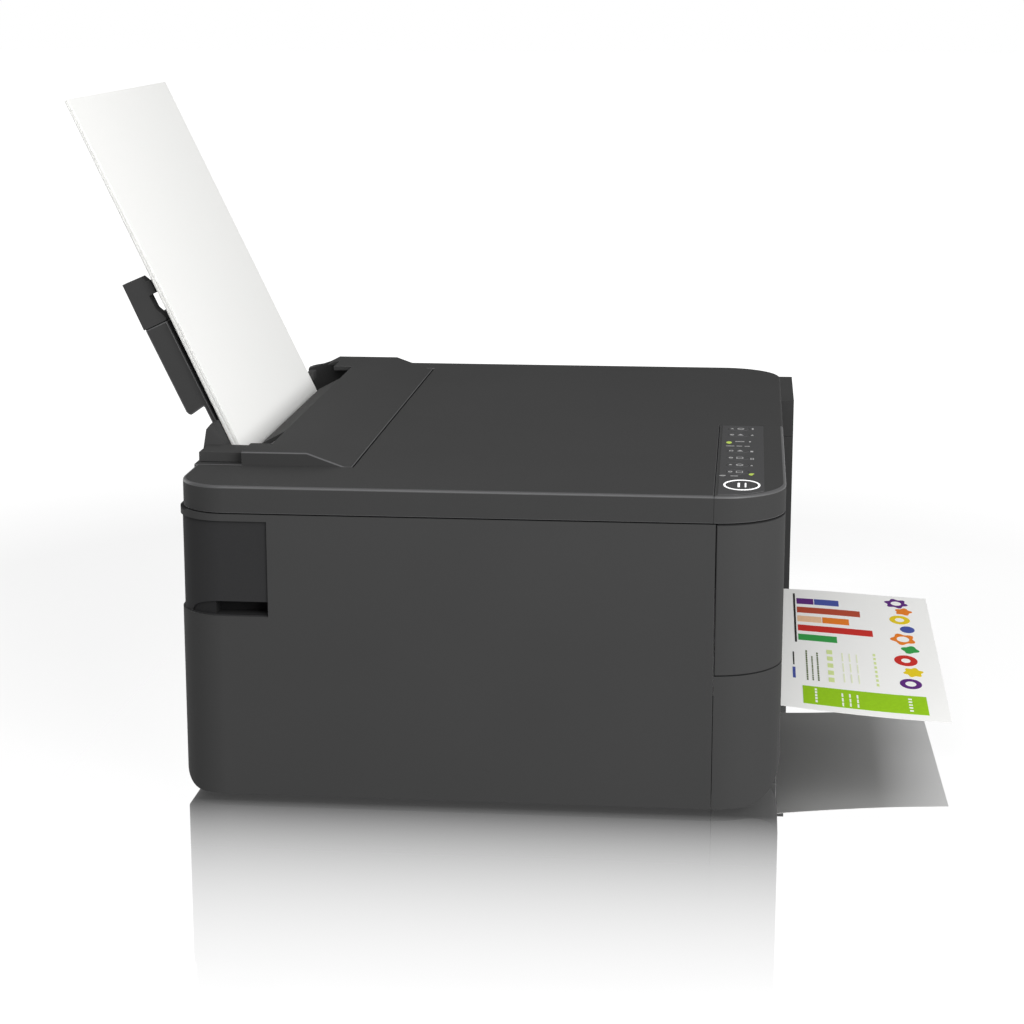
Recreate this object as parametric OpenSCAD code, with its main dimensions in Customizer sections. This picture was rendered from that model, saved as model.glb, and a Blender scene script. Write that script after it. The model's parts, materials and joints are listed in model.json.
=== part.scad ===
// Desktop inkjet printer with a flatbed scanner, a rear paper feed and a
// side ink tank unit. One module per piece, all in one frame:
// X to the right, Y to the rear, Z up, millimetres, standing on Z = 0.

/* [Printer body] */
// Width of the body without the ink tank unit
body_w = 390; // [370:1:420]
// Depth of the body from front to rear
body_d = 300; // [290:1:320]
// Height of the rubber feet under the body
foot_h = 3; // [2:0.5:5]
// Height of the top rim of the lower body
body_top = 146.5; // [140:0.5:155]
// Thickness of the moulded shells
shell_t = 2.5; // [2:0.1:3]
// Radius of the front corners seen from above
front_r = 35; // [25:1:45]
// Radius of the rear corners seen from above
rear_r = 25; // [18:1:28]
// Radius of the lower front edge seen from the side
toe_r = 18; // [10:1:22]
// Radius of the lower rear edge seen from the side
heel_r = 12; // [8:1:16]
// Depth of the two front shells
front_shell_d = 33.5; // [28:0.5:40]
// Height of the seam between the two front shells
front_seam_z = 71; // [60:1:85]
// Gap between neighbouring shells
seam = 0.3; // [0.2:0.1:0.5]
// Length of the grip recess at the rear of each side
grip_l = 47.6; // [40:0.1:55]
// Height of the lower edge of the grip recess
grip_z = 95; // [85:1:105]
// Height of the grip recess
grip_h = 48; // [40:1:50]
// Depth of the grip recess
grip_t = 1; // [0.6:0.1:1.4]

/* [Document cover and control panel] */
// Gap between the body and the document cover
cover_gap = 0.6; // [0.4:0.1:1]
// Thickness of the document cover
cover_h = 13.5; // [11:0.5:16]
// Radius of the upper edge of the document cover
cover_edge = 2; // [1:0.5:3]
// Length of the control panel along the front
panel_w = 188; // [180:1:200]
// Depth of the control panel
panel_d = 34; // [30:1:40]
// Gap between the document cover and the paper feed hump
hump_gap = 0.8; // [0.7:0.1:1.2]
// Distance of the hinge line from the rear face
hinge_in = 4; // [4:0.5:5]
// Height of the hinge line above the underside of the cover
hinge_up = 3.4; // [3.2:0.1:4]
// Radius of the hinge pins
pin_r = 1.5; // [1:0.1:1.8]
// Running clearance of pins, rods and shafts in their bores
run = 0.05; // [0.03:0.01:0.08]
// Radius of a round key
key_r = 5.6; // [4:0.1:6]
// Gap around a key
key_gap = 0.3; // [0.2:0.05:0.5]
// Travel of a key
key_travel = 0.8; // [0.5:0.1:1]

/* [Scanner] */
// Length of the scan glass
glass_l = 304; // [298:1:310]
// Depth of the scan glass
glass_d = 170; // [160:1:175]
// Thickness of the scan glass
glass_t = 2.8; // [2:0.1:3.2]
// Width of the scanner housing's edge in front of and behind the glass
glass_edge = 4.75; // [4:0.05:6]
// Depth of the scanner housing below the body rim
scanner_h = 18.5; // [16:0.5:20]
// Travel of the scan bar
scan_travel = 300; // [280:1:305]

/* [Paper feed] */
// Height of the feed hump above the document cover
hump_h = 6.8; // [5:0.1:9]
// Distance of the hump from the left side
hump_left = 52; // [50:0.5:56]
// Distance of the hump from the right side
hump_right = 22; // [21.5:0.5:24]
// Width of one sheet
sheet_w = 210; // [205:1:216]
// Length of one sheet
sheet_l = 297; // [279:1:300]
// Lean of the paper stack from the vertical
lean = 25.5; // [20:0.5:30]
// Thickness of the paper stack at its foot
stack_t = 5; // [3:0.1:5]
// Length of the stack hidden inside the feed
stack_hidden = 92; // [88:1:96]
// Width of the paper support
support_w = 200; // [190:1:204]
// Radius of the pick-up roller
pick_r = 14; // [12:0.5:15]

/* [Print engine] */
// Height of the sheet where it is printed
sheet_z = 38; // [36:0.5:40]
// Thickness of the drawn sheet
sheet_t = 0.3; // [0.2:0.05:0.4]
// Radius of the feed and exit rollers
roller_r = 5; // [4:0.5:6]
// Radius of the roller shafts
shaft_r = 3; // [2.5:0.1:3.5]
// Gap between a roller and the sheet
nip = 0.35; // [0.3:0.05:0.5]
// Width of the print carriage
carriage_w = 80; // [70:1:90]
// Radius of the carriage rod
rod_r = 4; // [3:0.5:5]
// Radius of the belt pulleys
pulley_r = 7.6; // [6:0.1:9]
// Thickness of the timing belt
belt_t = 1.2; // [0.8:0.1:1.6]
// Length of the printed sheet outside the front
page_out = 90; // [80:1:100]
// Width of the output tray
tray_w = 236; // [225:1:240]
// Length of the output tray
tray_l = 128; // [110:1:135]

/* [Ink tank unit] */
// Gap between the body and the ink tank unit
tank_gap = 2; // [1:0.5:3]
// Width of the ink tank unit
tank_w = 94; // [85:1:100]
// Depth of the ink tank unit
tank_d = 214; // [200:1:220]
// Distance the ink tank unit stands out in front of the body
tank_out = 9.7; // [5:0.1:12]
// Height of the seam below the ink tank cover
tank_seam_z = 116; // [110:1:122]
// Height of the ink tank cover above its seam
tank_cover_h = 17; // [14:1:20]
// Height of the front lip above the ink tank cover
tank_lip_h = 6.5; // [4:0.5:8]
// Thickness of the tank case walls
case_t = 2; // [1.5:0.1:2.5]
// Radius of a tank cap
cap_r = 9; // [7:0.5:10]

/* [Hidden] */
$fn = 64;
hw = body_w / 2;
hd = body_d / 2;
frame_x = -(tank_gap + tank_w) / 2;
frame_y = 10;
cz0 = body_top + cover_gap;
cz1 = cz0 + cover_h;
hinge_y = hd - hinge_in;
hinge_z = cz0 + hinge_up;
knuckle_r = pin_r + 1.8;
front_y = -hd + front_shell_d;
panel_x = -hw + panel_w;
panel_y = -hd + panel_d;
scan_y0 = front_y + 3;
scan_y1 = scan_y0 + glass_d + 2 * glass_edge;
cover_y = scan_y1 + 1.6;
hump_y = cover_y + hump_gap;
hump_x0 = -hw + hump_left;
hump_x1 = hw - hump_right;
hump_z = cz1 + hump_h;
floor_z = foot_h + shell_t;
// the foot of the line of sight of the paper stack, where it leaves the feed
feed_y = hd - 19.3;
feed_z = cz1 - 3.9;
cheek_x = sheet_w / 2 + 19;
cheek_t = 2.5;
guide_x = -sheet_w / 2 - 0.3;
guide_w = 10.7;
guide_travel = 5;
// left and right ends of the hinge parts
left_post = -hw + 27;
left_arm = -hw + 35;
right_arm = hump_x1 + 1;
right_post = right_arm + 3.3;
// scanner housing
scan_x0 = -hw + 19;
scan_x1 = hw - 17;
scan_z0 = body_top - scanner_h;
glass_y = (scan_y0 + scan_y1) / 2;
bezel_z = body_top - 0.9;
// print engine
feed_axis_y = 45;
exit_axis_y = -50;
axis_z = sheet_z - sheet_t / 2 - nip - roller_r;
plate_l = -hw + 43;
plate_r = hw - 10.5;
rod_y = 57;
rod_z = sheet_z + 34;
carriage_x0 = 70;
belt_y = 24;
belt_z = sheet_z + 61;
belt_l = plate_l + 12;
belt_r = plate_r - 16;
pick_y = -pick_r - nip;
pick_s = -stack_hidden + 12;
key_y = -hd + 24;
key_xs = [for (d = [58.7, 76.4, 94.7, 113.5, 158.6, 176.4]) -hw + d];
power_x = -hw + 27;
power_y = -hd + 21.8;
panel_top = cz1 + 0.1;
// ink tank unit
tank_x0 = hw + tank_gap;
tank_x1 = tank_x0 + tank_w;
tank_y0 = -hd - tank_out;
tank_y1 = tank_y0 + tank_d;
tank_z0 = foot_h + 1;
tank_hinge_y = tank_y1 - 4.2;
tank_hinge_z = tank_seam_z + 4.8;
tank_pitch = (tank_d - 2 * case_t - 4) / 4;
tank_top = tank_seam_z - 12;

// ---- helpers ----

module in_frame() {
  translate([frame_x, frame_y, 0]) children();
}

// a box between two corners
module bx(a, b) {
  translate(a) cube([b[0] - a[0], b[1] - a[1], b[2] - a[2]]);
}

// a rod along X between two places
module rod_along_x(x0, x1, y, z, r) {
  translate([x0, y, z]) rotate([0, 90, 0]) cylinder(r = r, h = x1 - x0);
}

// outline of the body seen from above, drawn in by g
module plan(g) {
  rf = front_r - g;
  rr = rear_r - g;
  union() {
    translate([-hw + g, -hd + front_r]) square([body_w - 2 * g, body_d - front_r - rear_r]);
    translate([-hw + front_r, -hd + g]) square([body_w - 2 * front_r, front_r]);
    translate([-hw + rear_r, hd - rear_r]) square([body_w - 2 * rear_r, rear_r - g]);
    for (s = [-1, 1]) {
      translate([s * (hw - front_r), -hd + front_r]) circle(r = rf);
      translate([s * (hw - rear_r), hd - rear_r]) circle(r = rr);
    }
  }
}

// side view of the body, drawn in by g, with rounded lower edges
module side_view(g, z1) {
  z0 = foot_h + g;
  union() {
    translate([-hd + g, foot_h + toe_r]) square([body_d - 2 * g, z1 - foot_h - toe_r]);
    translate([-hd + toe_r, z0]) square([body_d - toe_r - heel_r, toe_r]);
    translate([-hd + toe_r, foot_h + toe_r]) circle(r = toe_r - g);
    translate([hd - heel_r, foot_h + heel_r]) circle(r = heel_r - g);
    translate([hd - heel_r - 1, foot_h + heel_r]) square([heel_r + 1 - g, toe_r]);
  }
}

// solid form of the body, drawn in by g, up to the height z1
module body_form(g, z1) {
  intersection() {
    linear_extrude(height = z1) plan(g);
    translate([-hw - 5, 0, 0]) rotate([90, 0, 90]) linear_extrude(height = body_w + 10) side_view(g, z1);
  }
}

// hollow shell of the body, open at the top and over the floor opening
module body_shell() {
  difference() {
    body_form(0, body_top);
    body_form(shell_t, body_top + 20);
    floor_opening(0, foot_h - 5, floor_z + 1);
  }
}

module floor_opening(g, z0, z1) {
  bx([-hw + 20 + g, -hd + front_shell_d + 6 + g, z0], [hw - 20 - g, hd - heel_r - 8 - g, z1]);
}

// local frame of the paper feed: Y behind the front sheet, Z up along it
module feed_frame() {
  translate([0, feed_y, feed_z]) rotate([-lean, 0, 0]) children();
}

// ---- lower body ----

module base_tray() {
  color("#2b2b2b") in_frame() difference() {
    union() {
      floor_opening(seam, foot_h, floor_z + shell_t);
      intersection() {
        body_form(shell_t + seam, floor_z + shell_t);
        bx([-hw, front_y + 1, floor_z], [hw, hd, floor_z + shell_t]);
      }
      for (p = screw_places()) translate([p[0], p[1], foot_h]) cylinder(r = 5, h = 14);
    }
    for (p = screw_places()) {
      translate([p[0], p[1], foot_h - 1]) cylinder(r = 3.2, h = 4);
      translate([p[0], p[1], foot_h + 1]) cylinder(r = 1.6, h = 12);
    }
  }
}

function screw_places() = [for (sx = [-1, 1]) for (y = [-hd + 60, hd - 40]) [sx * (hw - 38), y]];

module housing_screws() {
  color("#8d8f92") in_frame() for (p = screw_places()) translate([p[0], p[1], 0]) {
    translate([0, 0, foot_h + 1]) cylinder(r = 3, h = 2);
    translate([0, 0, foot_h + 3]) cylinder(r = 1.6, h = 9.5);
  }
}

module rubber_feet() {
  color("#1c1c1c") in_frame() for (sx = [-1, 1]) for (y = [-hd + 50, hd - 30])
    translate([sx * (hw - 52), y, 0]) cylinder(r = 9, h = foot_h);
}

module outer_housing() {
  arm_slot = 0.7;
  color("#3d3d3e") in_frame() difference() {
    union() {
      intersection() {
        body_shell();
        bx([-hw - 1, front_y + seam / 2, 0], [hw + 1, hd + 1, body_top]);
      }
      // deck around the scanner and the paper feed
      difference() {
        intersection() {
          body_form(shell_t / 2, body_top);
          bx([-hw, front_y + seam / 2, body_top - shell_t], [hw, hd, body_top]);
        }
        bx([scan_x0 - 1.3, -hd, 0], [scan_x1 + 1.3, cover_y - 0.3, 200]);
        bx([hump_x0 + shell_t, hump_y + shell_t, 0], [hump_x1 - shell_t, hd - shell_t, 200]);
        bx([left_arm - arm_slot, 0, 0], [left_arm + 6 + arm_slot, hd - shell_t, 200]);
        bx([right_arm - 0.4, 0, 0], [right_arm + 3 + 0.15, hd - shell_t, 200]);
      }
      // finger pockets behind the grip recesses
      for (s = [-1, 1]) grip_pocket(s);
      // ribs that hold the paper feed and the chassis
      for (s = [-1, 1]) bx([s * (cheek_x + 4) - 1, hd - 22, floor_z + 26],
        [s * (cheek_x + 4) + 1, hd - shell_t / 2, body_top - shell_t]);
    }
    // grip recesses on both sides, running round the rear corners
    for (s = [-1, 1]) difference() {
      bx([s > 0 ? hw - 40 : -hw - 2, hd - grip_l, grip_z],
        [s > 0 ? hw + 2 : -hw + 40, hd + 2, grip_z + grip_h]);
      body_form(grip_t, body_top);
      if (s > 0) bx([hw - 45, hd - 5, 0], [hw - 32, hd + 5, 200]);
      if (s < 0) bx([-hw + 32, hd - 5, 0], [-hw + 45, hd + 5, 200]);
    }
    for (s = [-1, 1]) bx([s > 0 ? hw - 12 : -hw - 2, hd - grip_l, grip_z + 0.6],
      [s > 0 ? hw + 2 : -hw + 12, hd - grip_l + 26.4, grip_z + 7.3]);
    // clearance for the rear end of the document cover
    for (x = [[-hw, left_post - 0.3], [left_arm - arm_slot, hump_x0 + 0.4], [hump_x1 - 0.4, right_arm + 3.15],
      [right_post + 3.2, hw]]) rod_along_x(x[0], x[1], hinge_y, hinge_z, hinge_in + 0.9);
    // openings in the rear wall
    bx([-support_w / 2 - 6, hd - shell_t - 1, body_top - 6], [support_w / 2 + 6, hd + 1, body_top + 1]);
    bx([left_arm - arm_slot, hd - 8, body_top - 12], [left_arm + 6 + arm_slot, hd + 1, body_top + 1]);
    bx([right_arm - 0.4, hd - 8, body_top - 12], [right_arm + 3.15, hd + 1, body_top + 1]);
    bx([-hw + 82.7, hd - 8, floor_z + 14.2], [-hw + 111.3, hd + 1, floor_z + 38.8]);
    bx([54.7, hd - 8, floor_z + 17.7], [67.3, hd + 1, floor_z + 29.3]);
    // opening for the ink tubes
    bx([hw - 8, -18, tank_seam_z - 10], [hw + 1, 6, tank_seam_z - 2]);
  }
  color("#3d3d3e") in_frame() {
    post(left_post, 6);
    post(right_post, 3);
  }
}

// hinge post that stands on the rear wall
module post(x, w) {
  difference() {
    union() {
      bx([x, hinge_y - knuckle_r, body_top - 8], [x + w, hinge_y + knuckle_r, hinge_z]);
      rod_along_x(x, x + w, hinge_y, hinge_z, knuckle_r);
    }
    rod_along_x(x - 1, x + w + 1, hinge_y, hinge_z, pin_r);
    bx([x - 1, hd - shell_t, 0], [x + w + 1, hd + 1, body_top]);
  }
}

module grip_pocket(s) {
  x0 = s > 0 ? hw - 14 : -hw + 1.5;
  x1 = s > 0 ? hw - 1.5 : -hw + 14;
  bx([x0, hd - grip_l - 2, grip_z - 1.4], [x1, hd - grip_l + 28.4, grip_z + 9.3]);
}

module front_upper_shell() {
  color("#3d3d3e") in_frame() intersection() {
    body_shell();
    bx([-hw - 1, -hd - 1, front_seam_z + seam / 2], [hw + 1, front_y - seam / 2, body_top]);
  }
}

module front_lower_shell() {
  color("#3d3d3e") in_frame() difference() {
    intersection() {
      body_shell();
      bx([-hw - 1, -hd - 1, 0], [hw + 1, front_y - seam / 2, front_seam_z - seam / 2]);
    }
    bx([-tray_w / 2 - 3.5, -hd - 1, floor_z + 3.5], [tray_w / 2 + 3.5, -hd + shell_t + 6, sheet_z + 11]);
  }
}

module hinge_pins() {
  color("#b9bcc0") in_frame() {
    rod_along_x(left_post - 8, left_arm + 14, hinge_y, hinge_z, pin_r);
    rod_along_x(right_arm, right_post + 5.2, hinge_y, hinge_z, pin_r);
  }
}

// ---- paper feed ----

module hump_form(g) {
  low = body_top - (g > 0 ? 5 : 0);
  polygon([[hump_y + g, low], [hump_y + g, cz1 - g * 0.6], [hump_y + 3.6 + g * 0.2, cz1 - g * 0.9],
    [hump_y + 22.9, hump_z - g], [hd + 5, hump_z - g], [hd + 5, low]]);
}

module along_x(x0, x1) {
  translate([x0, 0, 0]) rotate([90, 0, 90]) linear_extrude(height = x1 - x0) children();
}

module feeder_hump() {
  lip_y = feed_y - 4.2;
  top_y = feed_y - 17;
  color("#3b3b3c") in_frame() union() {
    difference() {
      along_x(hump_x0, hump_x1) hump_form(0);
      along_x(hump_x0 + shell_t, hump_x1 - shell_t) hump_form(shell_t);
      // the feed slot
      bx([hump_x0 + 23.5, top_y, body_top - 1], [hump_x1 - 40, hd + 9, hump_z + 9]);
      bx([hump_x0 - 1, feed_y - 5.7, cz1], [hump_x1 - 40, hd + 9, hump_z + 9]);
      bx([hump_x0 - 1, hd - 2, body_top - 1], [hump_x1 + 1, hd + 9, hump_z + 9]);
      bx([hump_x0 + shell_t, feed_y - 5.7, body_top - 1], [hump_x1 - 20, hd + 9, hump_z + 9]);
      along_x(hump_x1 - 41, hump_x1 + 1) polygon([[feed_y - 4.7, hump_z + 1], [hd + 1, hump_z + 1],
        [hd + 1, body_top - 1], [hd - 2, body_top - 1], [hd - 2, cz1 - 1], [feed_y + 3, hump_z - 3]]);
    }
    // deck that the left edge guide slides on
    bx([hump_x0, feed_y - 6, cz1 - shell_t], [guide_x - guide_w - guide_travel - 1.5, hd - 0.5, cz1]);
    // sloping rear lip
    along_x(-84, 88) polygon([[top_y - 0.5, hump_z], [top_y, hump_z], [lip_y, cz1], [lip_y - 0.8, cz1 - 2.2],
      [top_y - 0.5, hump_z - shell_t]]);
  }
}

module feeder_frame() {
  foot_s = -stack_hidden;
  color("#2c2c2d") in_frame() union() {
    feed_frame() {
      difference() {
        for (x = [-cheek_x - cheek_t, cheek_x]) bx([x, -24, foot_s - 8], [x + cheek_t, 22.4, -12]);
        translate([-cheek_x - 5, pick_y, pick_s]) rotate([0, 90, 0])
          cylinder(r = shaft_r + run, h = 2 * cheek_x + 10);
      }
      // plate behind the stack
      bx([-cheek_x - 0.1, stack_t + 0.3, foot_s + 42], [cheek_x + 0.1, stack_t + 1.3, -12]);
      // rear plate of the pocket for the paper support
      bx([-cheek_x - 0.1, 20.4, foot_s + 5], [cheek_x + 0.1, 22.4, -12]);
      // foot that the stack stands on
      bx([-cheek_x - 0.1, -1, foot_s - 3], [cheek_x + 0.1, 22.4, foot_s]);
    }
    // feet that tie the cheeks to the base
    for (x = [-cheek_x - cheek_t, cheek_x])
      bx([x, feed_y - 33, floor_z + shell_t], [x + cheek_t, feed_y - 21, feed_z - 60]);
  }
}

module right_edge_guide() {
  color("#333334") in_frame() difference() {
    union() {
      feed_frame() bx([sheet_w / 2 + 0.3, 0.6, -34], [sheet_w / 2 + 3, stack_t + 0.3, 8]);
      bx([sheet_w / 2 + 0.3, feed_y + 2.2, feed_z + 6.5], [sheet_w / 2 + 10, feed_y + 6, feed_z + 11.2]);
    }
    bx([0, feed_y - 9, feed_z + 11.2], [200, feed_y + 30, feed_z + 40]);
  }
}

module left_edge_guide() {
  color("#363637") in_frame() {
    along_x(guide_x - guide_w, guide_x) translate([feed_y, feed_z])
      polygon([[22.4, 4], [20.1, 6.7], [18.4, 16.8], [15.9, 19.7],
      [14.1, 19.9], [7.4, 5.6], [5.6, 1.5], [16, 1.5]]);
    feed_frame() {
      bx([guide_x - guide_w, 1.6, -30], [guide_x, stack_t, 5]);
      bx([guide_x - guide_w, 1.6, -10], [guide_x, stack_t + 2, 5]);
    }
    bx([hump_x0 + guide_travel + 1, feed_y - 3, cz1 + 0.3],
      [guide_x - guide_w + 0.1, feed_y + 17.6, feed_z + 8.9]);
  }
}

module hopper_plate() {
  color("#2f2f30") in_frame() feed_frame() {
    difference() {
      union() {
        bx([-sheet_w / 2, stack_t + 0.3, -stack_hidden + 3],
          [sheet_w / 2, stack_t + 2.3, -stack_hidden + 38]);
        translate([0, stack_t + 3.5, -stack_hidden + 38]) rotate([0, 90, 0])
          cylinder(r = 3, h = sheet_w, center = true);
      }
      bx([-sheet_w, stack_t - 3, -stack_hidden + 30], [sheet_w, stack_t + 0.3, -stack_hidden + 50]);
    }
    translate([0, stack_t + 3.5, -stack_hidden + 38]) rotate([0, 90, 0])
      cylinder(r = 1.5, h = 2 * cheek_x - 1, center = true);
  }
}

module pickup_roller() {
  color("#242424") in_frame() feed_frame() translate([0, pick_y, pick_s]) rotate([0, 90, 0]) {
    translate([0, 0, -cheek_x - 4]) cylinder(r = shaft_r, h = 2 * cheek_x + 8);
    translate([0, 0, 20]) cylinder(r = pick_r, h = 36);
    translate([0, 0, -cheek_x + 1]) cylinder(r = 8, h = 5);
  }
}

module paper_support() {
  color("#39393a") in_frame() feed_frame() {
    along_x(-support_w / 2, support_w / 2)
      polygon([[6.8, -14], [6.8, 82], [19.6, 82], [19.6, 34.5], [18.9, 32.7],
      [17.6, 32], [9.5, 33.4], [9.5, -14]]);
  }
}

module support_head() {
  horn_w = 9;
  color("#39393a") in_frame() feed_frame() {
    // two horns on a crossbar
    for (x = [-support_w / 2, support_w / 2 - horn_w]) along_x(x, x + horn_w)
      polygon([[9.4, 97.4], [9.4, 90], [6.8, 84.5], [6.8, 82.3], [20.2, 82.3], [19.7, 108.3], [8.9, 107.9],
        [7.3, 104.5], [5.3, 104.5], [5.3, 97.4]]);
    along_x(-support_w / 2 + 1, support_w / 2 - 1)
      polygon([[6.8, 82.3], [20.2, 82.3], [20.1, 86.5], [8, 86.5], [6.8, 84.5]]);
    // slide plate behind the lower panel
    bx([-support_w / 2 + 8, 20, 30], [support_w / 2 - 8, 21.6, 85]);
  }
}

module paper_stack() {
  color("#f4f4f2") in_frame() feed_frame() along_x(-sheet_w / 2, sheet_w / 2)
    polygon([[0, -stack_hidden], [stack_t, -stack_hidden], [stack_t * 0.4, sheet_l - stack_hidden],
      [0, sheet_l - stack_hidden]]);
}

// ---- scanner, control panel and document cover ----

// a slab with the body's outline between two heights
module slab(g, z0, z1) {
  translate([0, 0, z0]) linear_extrude(height = z1 - z0) plan(g);
}

module document_cover() {
  g = 0.15;
  color("#3a3a3b") in_frame() difference() {
    union() {
      difference() {
        union() {
          slab(0, cz0, cz1 - cover_edge);
          slab(cover_edge * 0.3, cz1 - cover_edge - 0.01, cz1 - cover_edge * 0.4);
          slab(cover_edge, cz1 - cover_edge * 0.4 - 0.01, cz1);
        }
        difference() {
          slab(shell_t, cz0 - 1, cz1 - shell_t);
          // walls along the panel and the hump
          bx([-hw, panel_y + g, 0], [panel_x + g + shell_t, panel_y + g + shell_t, 200]);
          bx([panel_x + g, -hd, 0], [panel_x + g + shell_t, panel_y + shell_t, 200]);
          bx([hump_x0 - 0.5 - shell_t, cover_y - shell_t, 0], [hump_x1 + 0.5 + shell_t, hd, 200]);
          // solid hinge ends
          bx([-hw, hinge_y - 7, 0], [hump_x0, hd, 200]);
          bx([hump_x1, hinge_y - 7, 0], [hw, hd, 200]);
          // rim that holds the mat
          difference() {
            bx([-glass_l / 2 - 2, glass_y - glass_d / 2 - 1, cz0 + 1.9],
              [glass_l / 2 + 2, glass_y + glass_d / 2 + 1, cz1]);
            bx([-glass_l / 2, glass_y - glass_d / 2 + 1, cz0 - 1],
              [glass_l / 2, glass_y + glass_d / 2 - 1, cz1]);
          }
          for (x = [-75, 0, 75])
            bx([x - 1, glass_y - glass_d / 2, cz0 + 1.9], [x + 1, glass_y + glass_d / 2, cz1]);
        }
      }
    }
    // control panel and hump cut-outs
    bx([-hw - 1, -hd - 1, 0], [panel_x + g, panel_y + g, 200]);
    bx([hump_x0 - 0.5, cover_y, 0], [hump_x1 + 0.5, hd + 1, 200]);
    // room for the hinge posts and arms, and the pin bores
    bx([left_post - 0.4, hinge_y - knuckle_r - 0.8, 0], [left_arm + 6.4, hd + 1, hinge_z + knuckle_r + 0.7]);
    bx([hump_x1, hinge_y - knuckle_r - 0.8, 0], [right_post + 3.2, hd + 1, hinge_z + knuckle_r + 0.7]);
    rod_along_x(left_post - 9, left_arm + 15, hinge_y, hinge_z, pin_r + run);
    rod_along_x(right_arm, right_post + 6, hinge_y, hinge_z, pin_r + run);
    // chamfer along the lower rear edge, which swings past the body
    along_x(-hw - 1, hw + 1) polygon([[hd - 1.2, cz0 - 0.1], [hd + 0.1, cz0 + 1.2], [hd + 0.1, cz0 - 0.1]]);
    // the finger dent above the panel's corner
    translate([-hw - 0.6, panel_y + 1.2, cz1]) rotate([0, 90, 0]) cylinder(r = 1.2, h = 3);
  }
}

module document_mat() {
  color("#f2f2f0") in_frame() bx([-glass_l / 2 - 2, glass_y - glass_d / 2 - 1, body_top - 0.4],
    [glass_l / 2 + 2, glass_y + glass_d / 2 + 1, cz0 + 1.9]);
}

module scanner_frame() {
  wall = 2;
  color("#2e2e2f") in_frame() difference() {
    union() {
      difference() {
        bx([scan_x0, scan_y0, scan_z0], [scan_x1, scan_y1, bezel_z]);
        bx([scan_x0 + wall, scan_y0 + wall, scan_z0 + wall], [scan_x1 - wall, scan_y1 - wall, bezel_z - 5]);
        bx([-glass_l / 2 + 3, glass_y - glass_d / 2 + 3, bezel_z - 6],
          [glass_l / 2 - 3, glass_y + glass_d / 2 - 3, bezel_z + 1]);
        bx([-glass_l / 2, glass_y - glass_d / 2, bezel_z - glass_t],
          [glass_l / 2, glass_y + glass_d / 2, bezel_z + 1]);
      }
      // rails that the scan bar slides on
      for (y = [scan_y0 + 12, scan_y1 - 15])
        bx([scan_x0 + 1, y, scan_z0 + 1], [scan_x1 - 1, y + 3, scan_z0 + 5]);
      // apron under the control panel
      intersection() {
        slab(shell_t + 1, cz0 - 3, cz0);
        bx([-hw, -hd, 0], [hw, front_y - 0.8, 200]);
      }
      bx([scan_x0, front_y - 1, bezel_z - 3], [scan_x1, scan_y0 + 0.1, bezel_z]);
      // hinge arms
      bx([left_arm, scan_y1 - 1, body_top - 7.5], [left_arm + 6, hinge_y + 1, body_top]);
      bx([left_arm, hinge_y - knuckle_r, body_top - 5], [left_arm + 6, hinge_y + 1, hinge_z]);
      bx([right_arm, scan_y1 - 1, body_top - 7.5], [right_arm + 3, hinge_y + 1, body_top]);
      bx([right_arm, hinge_y - knuckle_r, body_top - 5], [right_arm + 3, hinge_y + 1, hinge_z]);
      rod_along_x(left_arm, left_arm + 6, hinge_y, hinge_z, knuckle_r);
      rod_along_x(right_arm, right_arm + 3, hinge_y, hinge_z, knuckle_r);
    }
    rod_along_x(left_arm - 1, left_arm + 7, hinge_y, hinge_z, pin_r + run);
    rod_along_x(right_arm - 1, right_arm + 4, hinge_y, hinge_z, pin_r + run);
  }
}

module scan_glass() {
  color("#cfe0e4", 0.5) in_frame() bx([-glass_l / 2, glass_y - glass_d / 2, bezel_z - glass_t],
    [glass_l / 2, glass_y + glass_d / 2, bezel_z]);
}

module scan_bar() {
  color("#1d1d1e") in_frame() bx([scan_x0 + 4, glass_y - glass_d / 2 - 0.75, scan_z0 + 5.3],
    [scan_x0 + 24, glass_y + glass_d / 2 + 0.75, bezel_z - 5.4]);
}

module panel_housing() {
  color("#3a3a3b") in_frame() difference() {
    intersection() {
      union() {
        slab(0, cz0, cz1 - cover_edge);
        slab(cover_edge * 0.3, cz1 - cover_edge - 0.01, cz1 - cover_edge * 0.4);
        slab(cover_edge, cz1 - cover_edge * 0.4 - 0.01, cz1);
      }
      bx([-hw - 1, -hd - 1, 0], [panel_x - 0.15, panel_y - 0.15, 200]);
    }
    difference() {
      slab(shell_t, cz0 - 1, cz1 - 6.5);
      bx([panel_x - 0.15 - shell_t, -hd, 0], [panel_x, hd, 200]);
      bx([-hw, panel_y - 0.15 - shell_t, 0], [panel_x, hd, 200]);
    }
    overlay_form(0, panel_top - 1.2, panel_top + 5);
    for (x = key_xs) translate([x, key_y, cz0]) cylinder(r = key_r + key_gap, h = 30);
    power_form(key_gap, cz0, cz1 + 10);
  }
}

// flat overlay with the keys' openings
module overlay_form(g, z0, z1) {
  intersection() {
    slab(cover_edge + 0.8 + g, z0, z1);
    bx([-hw + 0.8, -hd + 10.8 + g, z0], [panel_x - 2 - g, panel_y - 1 - g, z1]);
  }
}

module power_form(g, z0, z1) {
  translate([0, 0, z0]) linear_extrude(height = z1 - z0) union() {
    for (s = [-1, 1]) translate([power_x + s * 2.6, power_y]) circle(r = 7.2 + g);
    translate([power_x - 2.6, power_y - 7.2 - g]) square([5.2, 14.4 + 2 * g]);
  }
}

module panel_overlay() {
  color("#424243") in_frame() difference() {
    overlay_form(0, panel_top - 1.2, panel_top);
    for (x = key_xs) translate([x, key_y, cz0]) cylinder(r = key_r + key_gap, h = 30);
    power_form(key_gap, cz0, cz1 + 10);
    for (p = light_places()) translate([p[0], p[1], cz0]) cylinder(r = 1.3, h = 30);
  }
}

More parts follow.
